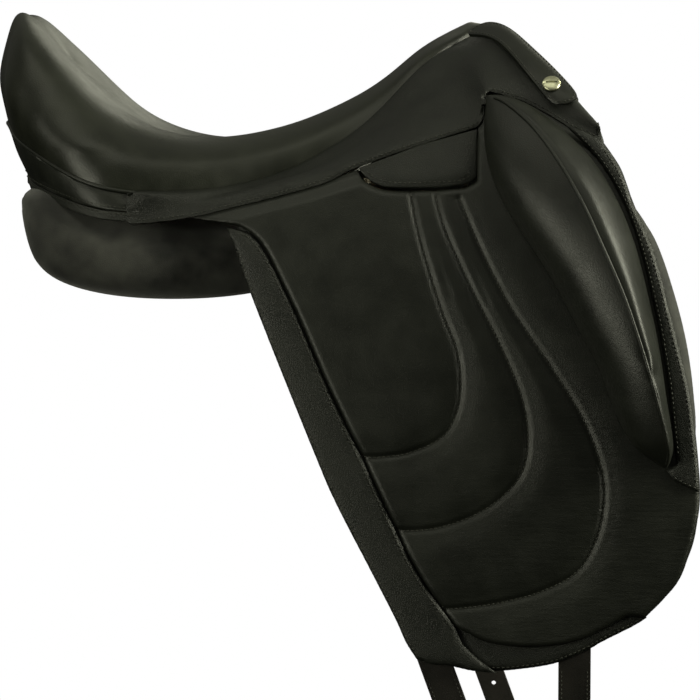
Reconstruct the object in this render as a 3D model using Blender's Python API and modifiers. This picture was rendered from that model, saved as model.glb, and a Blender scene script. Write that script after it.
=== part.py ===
"""A single-flap English dressage saddle, built the way a saddler builds one.

Metres, +X towards the pommel, +Y to the rider's left, +Z up. The origin lies on the
middle plane, in the tree under the seat's lowest point, where a rack or the horse's
back carries the weight. Outlines are drawn in millimetres, as seen from the side, and
stretched by the driving dimensions below.
"""

import math

import bmesh
import bpy
from mathutils import Matrix, Vector

MM = 0.001
GAP = 0.3 * MM  # between pieces that touch on the real saddle

# Overall sizes. The outlines are drawn for the values in DRAWN_.
SEAT_LENGTH = 444.5 * MM  # from the nail on the head to the middle of the cantle
SEAT_WIDTH = 304 * MM  # across the seat's seams where it is widest
FLAP_DROP = 360 * MM  # from the origin down to the lower edge of the billet guard
DRAWN_LENGTH, DRAWN_WIDTH, DRAWN_DROP = 444.5 * MM, 304 * MM, 360 * MM
LONG = SEAT_LENGTH / DRAWN_LENGTH
WIDE = SEAT_WIDTH / DRAWN_WIDTH
DEEP = FLAP_DROP / DRAWN_DROP

# How the side of the saddle falls away: narrow at the pommel, wide at the billets.
TOP_HEIGHT = 165 * MM
TOP_HALF_WIDTH = 45 * MM
SPREAD = 135 * MM
SPREAD_DEPTH = 150 * MM
LEVEL_STEP = 30 * MM
LEVELS = [TOP_HEIGHT - i * LEVEL_STEP for i in range(20)]

# Leathers and paddings, by thickness
LINING = 6 * MM
STRAP = 3 * MM
BASE = 3 * MM
PAD = 6 * MM
GRAINED = 3.5 * MM
TRIM = 3 * MM
FACING = 2.5 * MM
SEAT_LEATHER = 1.8 * MM
PANEL_FRONT = 22 * MM
SWING_GAP = 0.6 * MM

# The layers of the side, outwards from the inner face of the flap
STRAP_IN = LINING + 4 * GAP
BASE_IN = STRAP_IN + STRAP + GAP
PAD_IN = BASE_IN + BASE + GAP
PAD_OUT = PAD_IN + PAD
SKIRT_OUT = PAD_IN + GRAINED
TRIM_IN = PAD_OUT + GAP

# Steel
BAR_PLATE = 3 * MM
BAR_LENGTH = 62 * MM * LONG
BAR_HEIGHT = 9 * MM
BAR_THICKNESS = 4.5 * MM
BAR_SLOT = 8 * MM  # room for the stirrup leather behind the bar
COVER_ROOM = 1.3 * MM  # between the bar and its cover
COVER_IN = max(PAD_IN, BAR_SLOT + BAR_THICKNESS + COVER_ROOM)
BAR_AT = (184 * MM, 29 * MM)  # the bar's middle, seen from the side
CATCH_THICKNESS = 2 * MM
CATCH_LENGTH = 15.5 * MM
PIN_RADIUS = 1.2 * MM
RIVET_RADIUS = 2.4 * MM
RIVET_HEAD = 4.2 * MM
HEAD_PLATE = 3 * MM
HEAD_PLATE_WIDTH = 26 * MM
SCREW_RADIUS = 7.3 * MM
SCREW_SLOT = 1.6 * MM
WELT_RADIUS = 1.5 * MM

# Billets
BILLET_WIDTH = 25 * MM
TAIL_LENGTH = 220 * MM
HOLE_RADIUS = 2 * MM
HOLE_PITCH = 25 * MM
HOLES = 7

TREE_THICKNESS = 9 * MM
WEB_THICKNESS = 1.5 * MM
FOAM_CLEARANCE = 2.5 * MM
LAYER_CLEARANCE = 1.4 * MM

# The seat, as four lines from the middle of the cantle (station 0) round the right
# side to the middle of the pommel (station 8): millimetres x, y, z.
SEAT_SEAM = [
    (-182, 0, 66), (-172, -48, 62), (-147, -108, 46), (-84, -152, 16), (-15, -137, 9),
    (57, -106, 23), (121, -82, 60), (174, -56, 113), (216, 0, 137),
]
SEAT_WALL = [
    (-189, 0, 108), (-176, -50, 104), (-155, -110, 86), (-87, -144, 46), (-15, -129, 34),
    (58, -99, 44), (122, -70, 77), (173, -48, 121), (216, 0, 144),
]
SEAT_CREST = [
    (-167, 0, 155), (-161, -44, 152), (-137, -84, 125), (-80, -98, 73), (-12, -84, 52),
    (57, -62, 61), (122, -38, 90), (169, -20, 127), (206, 0, 147),
]
SEAT_MIDDLE = [
    (-133, 0, 121), (-121, 0, 109), (-98, 0, 90), (-54, 0, 59), (-7, 0, 48), (62, 0, 58),
    (125, 0, 91), (171, 0, 127), (199, 0, 143),
]

# The skirt's upper edge under the seat, and its lower edge, station by station
SKIRT_TOP = [
    (-48, -150, 4), (-15, -140, 2), (18, -124, 5), (62, -107, 17), (96, -94, 34), (133, -80, 65),
    (164, -65, 97), (184, -53, 116), (204, -39, 131), (230, -38, 140), (260, -80, 117),
    (295, -115, 83), (316, -127, 62),
]
SKIRT_EDGE = [
    (-48, -13), (-8, -7), (27, 1), (78, 14), (117, 26), (155, 40), (198, 54), (218.5, 63),
    (221, 86), (241, 87.5), (263, 79), (288, 64.5), (315, 52),
]
SKIRT_BULGE = 4 * MM
SKIRT_LIP = 6  # millimetres of the lower edge that lie flat on the side
LIP_START = 0.8

# The side's outlines, seen from the right: millimetres x, z.
FLAP_TOP_REAR = [(-8, -9.5), (26, -1), (78, 12), (117, 24), (124, 26.5)]
NOTCH = [(124, 26.5), (128, 19), (139, 12.5), (157, 10), (204, 12), (217.5, 18)]
NOTCH_FRONT = [(217.5, 18), (217.5, 58), (221, 64), (223, 84)]
FLAP_TOP_FRONT = [(223, 84), (241, 85.5), (262, 77), (287, 62.5), (314, 50)]
FLAP_FRONT = [
    (314, 50), (329, 28), (339, 1), (355, -36), (371, -96), (383, -145), (390, -201),
    (390, -236), (379, -279), (367, -298), (349, -317),
]
FLAP_BOTTOM = [
    (349, -317), (336, -316), (321, -324), (298, -335), (271, -340), (248, -340),
    (225, -336), (204.5, -325),
]
FLAP_REAR = [
    (204.5, -325), (183, -296), (163, -261), (132, -196), (107, -146), (83, -93),
    (62, -51), (51, -32), (41, -22.5), (27, -16.5), (-8, -11),
]
STRIP_INNER = [
    (22, -18.5), (39, -23), (49, -33), (60.5, -51), (81.5, -93), (105.5, -146),
    (130.5, -196), (161.5, -261), (181.5, -296), (203, -325), (209, -338), (221, -350),
    (236, -361),
]
STRIP_OUTER = [
    (236, -361), (218, -359.5), (198, -355.5), (174, -351), (157, -319), (133, -273), (109, -227),
    (86, -174), (63, -120), (41, -66), (30, -36), (22, -18.5),
]
BASE_REAR = [
    (175, -338), (157, -316), (134, -272), (110, -226), (87, -173), (64, -119), (42, -65),
    (34, -38), (28, -6),
]
GUARD_TOP = [(350, -309), (330, -302), (290, -310), (250, -312), (215, -305), (180, -300)]
GUARD_BOTTOM = [
    (180, -350), (198, -354), (218, -358), (235, -360), (256, -358), (282, -353),
    (307, -342), (317, -336), (340, -324), (351, -317),
]
TRIM_FRONT = [
    (313, 50), (329, 27), (338.5, 0), (354.5, -36), (370.5, -96), (382.5, -145),
    (389.5, -201), (390, -219),
]
TRIM_FOOT = [(390, -219), (381, -215), (371, -210), (365, -202)]
TRIM_REAR = [
    (372, -192), (367, -145), (361, -107), (353, -69), (343, -30), (330, 4), (312, 34),
    (291, 56), (286, 61),
]
COVER_EDGE = [(126.5, 28), (131, 22), (141, 15.5), (157, 13), (204, 15), (215.5, 21)]
COVER_TOP = [(215.5, 57), (197, 51.5), (154, 37.5), (126.5, 28)]
PANEL_FRONT_EDGE = [
    (236, 28), (280, 34), (306, 28), (323, 12), (338, -2), (356, -27), (370, -65),
    (381, -107), (387, -149), (388, -185), (376, -208), (345, -220),
]
PANEL_FRONT_REAR = [(345, -220), (300, -180), (250, -105), (208, -30), (198, 8), (236, 28)]

# The knee block, row by row down its length: its two edges, its ridge, its height
BLOCK_REAR = [
    (224, 84), (222.5, 64), (224, 42), (232, 15), (246, -11), (266, -41), (282, -67),
    (298, -97), (314, -127), (325, -157), (340, -184), (361, -199),
]
BLOCK_RIDGE = [
    (226, 84.5), (240, 78), (261, 60), (281, 34), (300, 2), (316, -32), (331, -66),
    (342, -97), (352, -129), (360, -158), (366, -184), (364.5, -199.5),
]
BLOCK_FRONT = [
    (228, 85), (242, 83.5), (262, 74.5), (287, 55), (309, 32), (327, 2), (340, -31),
    (350, -70), (358, -107), (364, -145), (370, -182), (367, -198),
]
BLOCK_HEIGHT = [4, 13, 25, 34, 40, 43, 43, 42, 39, 33, 23, 7]

# The panel's stuffed cushion, from the rear: x, middle y, middle z, half width, half
# height, and the slope of its underside in degrees
CUSHION = [
    (-150, -86, -8, 25, 9, 6), (-143, -88, -16, 42, 20, 8), (-124, -92, -27, 55, 31, 9),
    (-80, -94, -38, 61, 32, 10), (-28, -92, -43, 60, 31, 8), (28, -83, -46, 50, 24, 8),
    (90, -80, -30, 44, 25, 8), (150, -70, 0, 32, 24, 12), (205, -62, 20, 28, 22, 15),
    (248, -58, 38, 22, 17, 20), (274, -56, 46, 10, 8, 20),
]
FACING_EDGE = [
    (-166, 0, 22), (-157, -46, 20), (-137, -105, 13), (-84, -154, -3), (-20, -150, -12),
]
FACING_END = 3.47  # the station where the facings meet the end of the skirt
LOWER_FACING = 8 * MM

POMMEL_EDGE = [
    (223, 0, 144), (231, -34, 136), (260, -76, 112), (289, -108, 79), (303, -119, 60),
]
POMMEL_ROLL = [
    (245, 0, 131), (250, -34, 124), (270, -66, 100), (287, -92, 70), (297, -104, 52),
]
POMMEL_INNER = [
    (243, 0, 112), (246, -34, 106), (260, -60, 86), (271, -80, 62), (280, -90, 46),
]

HINGE_REAR = (24, -1)  # the line that the flap swings about, seen from the side
HINGE_FRONT = (229, 87)
REAR_BILLET = ((80, -60), (190, -360))
FRONT_BILLET = ((296, -150), (296, -355))


def clear_scene():
    for thing in list(bpy.data.objects):
        bpy.data.objects.remove(thing, do_unlink=True)


def collection(name):
    made = bpy.data.collections.new(name)
    bpy.context.scene.collection.children.link(made)
    return made


def point(x, y, z):
    """A drawn point, stretched to the driving dimensions."""
    return Vector((x * LONG, y * WIDE, z * (DEEP if z < 0 else 1))) * MM


def fall(z):
    """The half width of the saddle's side at a height."""
    return WIDE * (TOP_HALF_WIDTH + SPREAD * (1 - math.exp((z - TOP_HEIGHT) / SPREAD_DEPTH)))


def side(z):
    """The same as straight runs between the levels, so that every layer lies flat on the next."""
    i = int((TOP_HEIGHT - z) / LEVEL_STEP)
    high = TOP_HEIGHT - i * LEVEL_STEP
    share = (high - z) / LEVEL_STEP
    return fall(high) * (1 - share) + fall(high - LEVEL_STEP) * share


def on_side(x, z, out):
    """A drawn point laid on the right side, at a distance outwards."""
    flat = point(x, 0, z)
    return Vector((flat.x, -side(flat.z) - out, flat.z))


def curve_at(points, t, mirrored=False):
    """A smooth curve through the points, read at a station; its ends may run on as a mirror image."""
    last = len(points) - 1
    i = min(int(t), last - 1)
    a, b = points[i], points[i + 1]
    flip = Vector((1, -1, 1)) if len(a) == 3 else Vector((1, 1))
    if i > 0:
        before = points[i - 1]
    else:
        before = points[1] * flip if mirrored else 2 * a - b
    if i + 2 <= last:
        after = points[i + 2]
    else:
        after = points[last - 1] * flip if mirrored else 2 * b - a
    u = t - i
    return 0.5 * (
        2 * a
        + (b - before) * u
        + (2 * before - 5 * a + 4 * b - after) * u * u
        + (3 * a - before - 3 * b + after) * u * u * u
    )


def smooth(points, steps=2):
    """The points of a smooth curve, with its ends kept as corners."""
    vectors = [Vector(p) for p in points]
    count = (len(points) - 1) * steps
    return [curve_at(vectors, i / steps) for i in range(count + 1)]


def outline(*stretches):
    """Smooth stretches joined end to end at their corners."""
    joined = []
    for stretch in stretches:
        for p in smooth(stretch):
            if not joined or (p - joined[-1]).length > 0.2:
                joined.append(p)
    while (joined[0] - joined[-1]).length < 0.2:
        joined.pop()
    return joined


def steps(start, end, count):
    return [start + (end - start) * i / count for i in range(count + 1)]


def leather(name, colour, roughness, metallic=0.0):
    made = bpy.data.materials.new(name)
    made.use_nodes = True
    shader = made.node_tree.nodes["Principled BSDF"]
    shader.inputs["Base Color"].default_value = (*colour, 1)
    shader.inputs["Roughness"].default_value = roughness
    shader.inputs["Metallic"].default_value = metallic
    return made


FINISHES = {
    "smooth_leather": ((0.022, 0.025, 0.020), 0.42, 0),
    "grained_leather": ((0.018, 0.021, 0.017), 0.55, 0),
    "panel_leather": ((0.016, 0.017, 0.016), 0.75, 0),
    "strap_leather": ((0.015, 0.016, 0.014), 0.5, 0),
    "steel": ((0.45, 0.45, 0.43), 0.35, 1),
    "nickel": ((0.72, 0.70, 0.64), 0.25, 1),
    "wood": ((0.45, 0.30, 0.16), 0.6, 0),
    "webbing": ((0.55, 0.50, 0.40), 0.85, 0),
    "foam": ((0.70, 0.66, 0.52), 0.9, 0),
}


def add(name, bm, finish, parent=None):
    """Puts a mesh in the saddle under a name, with its own material."""
    mesh = bpy.data.meshes.new(name)
    bm.to_mesh(mesh)
    bm.free()
    thing = bpy.data.objects.new(name, mesh)
    mesh.materials.append(leather(name + "_" + finish, *FINISHES[finish]))
    SADDLE.objects.link(thing)
    thing.parent = parent
    return thing


def face_towards(bm, direction):
    bmesh.ops.recalc_face_normals(bm, faces=bm.faces)
    total = sum((face.normal * face.calc_area() for face in bm.faces), Vector())
    if total.dot(Vector(direction)) < 0:
        bmesh.ops.reverse_faces(bm, faces=bm.faces)


def loft(rows, ring=False, capped=False):
    """A skin through rows of points, each row a line or a ring."""
    bm = bmesh.new()
    lines = [[bm.verts.new(p) for p in row] for row in rows]
    for first, second in zip(lines, lines[1:]):
        count = len(first) if ring else len(first) - 1
        for i in range(count):
            j = (i + 1) % len(first)
            bm.faces.new((first[i], first[j], second[j], second[i]))
    if capped:
        bm.faces.new(lines[0])
        bm.faces.new(lines[-1])
    bmesh.ops.recalc_face_normals(bm, faces=bm.faces)
    if capped and bm.calc_volume(signed=True) < 0:
        bmesh.ops.reverse_faces(bm, faces=bm.faces)
    return bm


def thicken(thing, thickness):
    made = thing.modifiers.new("thickness", "SOLIDIFY")
    made.thickness = thickness
    made.offset = -1
    return thing


def mirrored(thing):
    made = thing.modifiers.new("left_half", "MIRROR")
    made.use_axis = (False, True, False)
    made.merge_threshold = 0.00005
    return thing


def draped(name, flat, inner, outer, finish, parent=None):
    """A flat outline cut at the levels, given its thickness and laid on the right side."""
    bm = bmesh.new()
    corners = [bm.verts.new((x * LONG * MM, 0, z * MM * (DEEP if z < 0 else 1))) for x, z in flat]
    bm.faces.new(corners)
    for level in LEVELS:
        bmesh.ops.bisect_plane(
            bm, geom=bm.verts[:] + bm.edges[:] + bm.faces[:], dist=0.000001,
            plane_co=(0, 0, level), plane_no=(0, 0, 1),
        )
    sheet = bmesh.ops.extrude_face_region(bm, geom=bm.faces[:])
    raised = {item for item in sheet["geom"] if isinstance(item, bmesh.types.BMVert)}
    for vertex in bm.verts:
        vertex.co.y = -side(vertex.co.z) - (outer if vertex in raised else inner)
    bmesh.ops.recalc_face_normals(bm, faces=bm.faces)
    return add(name, bm, finish, parent)


def box(size, middle):
    bm = bmesh.new()
    bmesh.ops.create_cube(bm, size=1)
    bmesh.ops.scale(bm, vec=size, verts=bm.verts)
    bmesh.ops.translate(bm, vec=middle, verts=bm.verts)
    return bm


def rod(radius, length, segments=12, narrow=None):
    """A round bar along Y, its outer end at -Y."""
    bm = bmesh.new()
    bmesh.ops.create_cone(
        bm, cap_ends=True, segments=segments, radius1=radius,
        radius2=radius if narrow is None else narrow, depth=length,
    )
    bmesh.ops.rotate(bm, matrix=Matrix.Rotation(math.radians(90), 3, "X"), verts=bm.verts)
    return bm


def cutter(name, bm):
    mesh = bpy.data.meshes.new(name)
    bm.to_mesh(mesh)
    bm.free()
    thing = bpy.data.objects.new(name, mesh)
    CUTTERS.objects.link(thing)
    thing.hide_render = True
    thing.display_type = "WIRE"
    return thing


def boolean(thing, other, operation):
    made = thing.modifiers.new(other.name, "BOOLEAN")
    made.operation = operation
    made.object = other
    made.solver = "EXACT"
    return made


def hinge(name, place, axis, parent):
    """An empty whose X axis is the hinge's axis."""
    empty = bpy.data.objects.new(name, None)
    SADDLE.objects.link(empty)
    empty.parent = parent
    turn = Vector((1, 0, 0)).rotation_difference(axis.normalized())
    empty.matrix_basis = Matrix.Translation(place) @ turn.to_matrix().to_4x4()
    return empty


def keep_place(thing, parent):
    """Hangs a piece made in the saddle's frame under an empty, without moving it."""
    thing.parent = parent
    thing.matrix_parent_inverse = world_of(parent).inverted()
    return thing


def world_of(thing):
    if thing is None:
        return Matrix.Identity(4)
    return world_of(thing.parent) @ thing.matrix_parent_inverse @ thing.matrix_basis


# ---------------------------------------------------------------- seat and tree


def seat_lines():
    return [[point(*p) for p in line] for line in (SEAT_SEAM, SEAT_WALL, SEAT_CREST, SEAT_MIDDLE)]


def seat_at(t, s):
    """The seat's surface: t runs round the side from cantle to pommel, s from the seam inwards."""
    across = [curve_at(line, t, mirrored=True) for line in seat_lines()]
    across.append(across[2] * Vector((1, -1, 1)))
    return curve_at(across, s)


def seat_inside(t, s, depth):
    """The same surface, at a depth under the leather."""
    step = 0.02
    near_t, near_s = min(max(t, 0.2), 7.8), min(max(s, step), 2.8)
    along = seat_at(near_t + step, near_s) - seat_at(near_t - step, near_s)
    across = seat_at(near_t, near_s + step) - seat_at(near_t, near_s - step)
    normal = across.cross(along).normalized()
    if t in (0, 8) or s == 3:
        normal.y = 0
        normal.normalize()
    if normal.dot(seat_at(t, s) - Vector((0, 0, -0.1))) < 0:
        normal.negate()
    return seat_at(t, s) - normal * depth


def under_seat(t, s, drop):
    """The underside of the seat's foam, straight across from the seam to the middle plane."""
    edge = seat_inside(t, 0, SEAT_LEATHER + FOAM_CLEARANCE)
    middle = Vector((curve_at(seat_lines()[3], t, mirrored=True).x, 0, edge.z + 2 * MM))
    found = edge.lerp(middle, s)
    found.z -= drop
    return found


def seat_cover():
    rows = [[seat_at(t, s) for s in steps(0, 3, 6)] for t in steps(0, 8, 20)]
    bm = loft(rows)
    face_towards(bm, (0, -1, 1))
    thicken(mirrored(add("seat_cover", bm, "smooth_leather")), SEAT_LEATHER)


def seat_foam():
    depth = SEAT_LEATHER + FOAM_CLEARANCE
    rows = []
    for t in steps(0, 8, 20):
        top = [seat_inside(t, s, depth) for s in steps(0, 3, 6)]
        bottom = [under_seat(t, s, 0) for s in (1, 0.5)]
        rows.append(top + bottom)
    bm = bmesh.new()
    lines = [[bm.verts.new(p) for p in row] for row in rows]
    for first, second in zip(lines, lines[1:]):
        for i in range(len(first)):
            if i == 6:
                continue  # the middle plane stays open, where the mirror joins the halves
            j = (i + 1) % len(first)
            bm.faces.new((first[i], first[j], second[j], second[i]))
    face_towards(bm, (0, -1, 0))
    mirrored(add("seat_foam", bm, "foam"))


def tree():
    """A laminated ring, open in the middle where the webbing is stretched."""
    drop = WEB_THICKNESS + 2 * LAYER_CLEARANCE
    rim = 0.08
    rows = []
    for t in steps(0, 7.75, 31):
        inner = 1.0
        if abs(t - 4) < 2.25:
            half_opening = 46 * MM * WIDE * math.sqrt(1 - ((t - 4) / 2.25) ** 2)
            inner = 1 - half_opening / -under_seat(t, 0, 0).y
        rows.append([under_seat(t, rim + (inner - rim) * share, drop) for share in steps(0, 1, 3)])
    bm = loft(rows)
    face_towards(bm, (0, 0, 1))
    thicken(mirrored(add("tree", bm, "wood")), TREE_THICKNESS)


def seat_webbing():
    """Webbing along the seat with one band across it, stretched over the tree."""
    rows = []
    for t in steps(1.6, 7, 27):
        half = (88 if 3.3 < t < 4.5 else 24) * MM * WIDE
        edge = 1 - half / -under_seat(t, 0, 0).y
        row = [under_seat(t, edge + (1 - edge) * share, LAYER_CLEARANCE) for share in steps(0, 1, 2)]
        rows.append(row)
    bm = loft(rows)
    face_towards(bm, (0, 0, 1))
    thicken(mirrored(add("seat_webbing", bm, "webbing")), WEB_THICKNESS - GAP)


def seat_welt():
    """Piping sewn into the seam all the way round the seat."""
    drop = Vector((0, 0, -WELT_RADIUS - 1.6 * MM))
    right = [seat_inside(t, 0, -GAP) + drop for t in steps(0, 8, 28)]
    right[0].y = right[-1].y = 0
    left = [p * Vector((1, -1, 1)) for p in reversed(right[1:-1])]
    make_tube("seat_welt", right + left, WELT_RADIUS, "smooth_leather", cyclic=True)


def make_tube(name, points, radius, finish, parent=None, cyclic=False):
    """A cord of leather along a line of points."""
    data = bpy.data.curves.new(name, "CURVE")
    data.dimensions = "3D"
    line = data.splines.new("POLY")
    line.points.add(len(points) - 1)
    for place, p in zip(line.points, points):
        place.co = (*p, 1)
    line.use_cyclic_u = cyclic
    data.bevel_depth = radius
    data.bevel_resolution = 1
    data.use_fill_caps = not cyclic
    data.materials.append(leather(name + "_" + finish, *FINISHES[finish]))
    thing = bpy.data.objects.new(name, data)
    SADDLE.objects.link(thing)
    thing.parent = parent
    return thing


def facing_edge(t, drop):
    found = curve_at([point(*p) for p in FACING_EDGE], t, mirrored=t < 1)
    return found + Vector((0, 0, -drop))


def facings():
    """The band under the seam round the back of the cantle, and the strip below it."""
    upper, lower = [], []
    below_welt = 2 * WELT_RADIUS + 2.2 * MM
    for t in steps(0, FACING_END, 14):
        top = seat_at(t, 0) + Vector((0, 0, -below_welt))
        bottom = facing_edge(t, 0)
        upper.append([top, (top + bottom) / 2 + Vector((-1, -1, 0)) * MM, bottom])
        lower.append([facing_edge(t, SWING_GAP), facing_edge(t, LOWER_FACING)])
    for row in upper[:1] + lower[:1]:
        for p in row:
            p.y = 0
    for name, rows in (("cantle_facing", upper), ("panel_facing", lower)):
        bm = loft(rows)
        face_towards(bm, (-1, -1, 0))
        thicken(mirrored(add(name, bm, "smooth_leather")), FACING)


def pommel_facing():
    """The rolled leather that closes the head's front, between the two skirts."""
    lines = [[point(*p) for p in line] for line in (POMMEL_EDGE, POMMEL_ROLL, POMMEL_INNER)]
    rows = []
    for t in steps(0, 4, 12):
        across = [curve_at(line, t, mirrored=t < 1) for line in lines]
        if t == 0:
            for p in across:
                p.y = 0
        rows.append([curve_at(across, s) for s in steps(0, 2, 4)])
    bm = loft(rows)
    face_towards(bm, (1, 0, 0.2))
    thicken(mirrored(add("pommel_facing", bm, "grained_leather")), FACING)


def gullet_lining():
    """The soft leather roof of the channel between the two cushions."""
    half = 33 * MM * WIDE
    drop = WEB_THICKNESS + 2 * LAYER_CLEARANCE + TREE_THICKNESS + 7 * MM
    rows = []
    for t in steps(2.4, 6.4, 16):
        edge = 1 - half / -under_seat(t, 0, 0).y
        rows.append([under_seat(t, edge, drop + 4 * MM), under_seat(t, 1, drop)])
    bm = loft(rows)
    face_towards(bm, (0, 0, 1))
    thicken(mirrored(add("gullet_lining", bm, "panel_leather")), SEAT_LEATHER)


def head_plate():
    """The steel arch under the head, with a leg down each side."""
    middle_x = 222 * MM * LONG
    inset = BAR_PLATE + 1.4 * MM
    leg = [on_side(222, z, -inset) for z in (-24, 0, 24, 48, 70)]
    crown = 117 * MM
    spring = leg[-1]
    for angle in steps(90, 0, 6)[1:]:
        rad = math.radians(angle)
        rise = spring.z + (crown - spring.z) * math.cos(rad)
        leg.append(Vector((middle_x, spring.y * math.sin(rad), rise)))
    leg[-1].y = 0
    half = HEAD_PLATE_WIDTH / 2
    rows = [[p + Vector((dx, 0, 0)) for dx in (-half, 0, half)] for p in leg]
    bm = loft(rows)
    face_towards(bm, (0, -1, 1))
    thicken(mirrored(add("head_plate", bm, "steel")), HEAD_PLATE)


# ---------------------------------------------------------------- one side


def skirt_at(t, v, out=0.0):
    """The skirt's outer surface: t along it from the rear, v from its top edge down."""
    def surface(t, v):
        top = curve_at([point(*p) for p in SKIRT_TOP], t)
        flat = curve_at([Vector(p) for p in SKIRT_EDGE], t)
        bottom = on_side(flat.x, flat.y, SKIRT_OUT)
        lip = on_side(flat.x, flat.y + SKIRT_LIP, SKIRT_OUT)
        if v > LIP_START:
            return lip.lerp(bottom, (v - LIP_START) / (1 - LIP_START))
        share = v / LIP_START
        away = Vector((0, -0.8, 0.6))
        return top.lerp(lip, share) + away * SKIRT_BULGE * 4 * share * (1 - share)

    step = 0.05
    along = surface(min(t + step, 12), v) - surface(max(t - step, 0), v)
    across = surface(t, min(v + step, 1)) - surface(t, max(v - step, 0))
    normal = along.cross(across).normalized()
    if normal.y > normal.z:
        normal.negate()
    return surface(t, v) + normal * out


def skirt(side_parent):
    stations = steps(0, 1, 5)
    rows = []
    for t in steps(0, 12, 24):
        outer = [skirt_at(t, v) for v in stations]
        lean = min(t / 6, 1)
        inwards = [Vector((0, v + (1 - v) * lean, v - 1)) * GRAINED for v in stations]
        inner = [p + away for p, away in zip(outer, inwards)]
        rows.append(outer + inner[::-1])
    add("skirt_right", loft(rows, ring=True, capped=True), "grained_leather", side_parent)


TAB_REAR = [(8, 0), (8.7, 0.24), (9.3, 0.46), (9.8, 0.62), (10.25, 0.76), (10.6, 0.82)]
TAB_FRONT = [(9.1, -0.04), (9.7, -0.02), (10.3, 0.02), (10.8, 0.1), (11.05, 0.3), (10.95, 0.6)]
TAB_SCREW = (10.45, 0.5)
TAB_THICKNESS = 3.5 * MM
TAB_CLEARANCE = 1.2 * MM


def pommel_tab(side_parent):
    """The smooth tongue from the pommel down to the nail."""
    rear = [Vector(p) for p in TAB_REAR]
    front = [Vector(p) for p in TAB_FRONT]
    rows = []
    for t in steps(0, 5, 10):
        a, b = curve_at(rear, t), curve_at(front, t)
        rows.append([
            skirt_at(*a.lerp(b, share), TAB_CLEARANCE + TAB_THICKNESS + crown * MM)
            for share, crown in ((0, 0), (0.33, 1.2), (0.67, 1.2), (1, 0))
        ])
    bm = loft(rows)
    face_towards(bm, (0, -1, 0))
    thicken(add("pommel_tab_right", bm, "smooth_leather", side_parent), TAB_THICKNESS)


def tab_screw(side_parent):
    """A domed nail with a driving slot, on the end of the tongue."""
    place = skirt_at(*TAB_SCREW, TAB_CLEARANCE + TAB_THICKNESS + 1.2 * MM)
    normal = (skirt_at(*TAB_SCREW, 1 * MM) - skirt_at(*TAB_SCREW)).normalized()
    head = 2.6 * MM
    bm = rod(SCREW_RADIUS, head, 20, narrow=SCREW_RADIUS * 0.72)
    slot = cutter("screw_slot", box((SCREW_RADIUS * 3, head, SCREW_SLOT), (0, -head * 0.85, 0)))
    screw = add("tab_screw_right", bm, "nickel", side_parent)
    turn = Vector((0, -1, 0)).rotation_difference(normal).to_matrix().to_4x4()
    screw.matrix_basis = Matrix.Translation(place + normal * (head / 2 + GAP)) @ turn
    slot.matrix_basis = screw.matrix_basis.copy()
    boolean(screw, slot, "DIFFERENCE")


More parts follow.
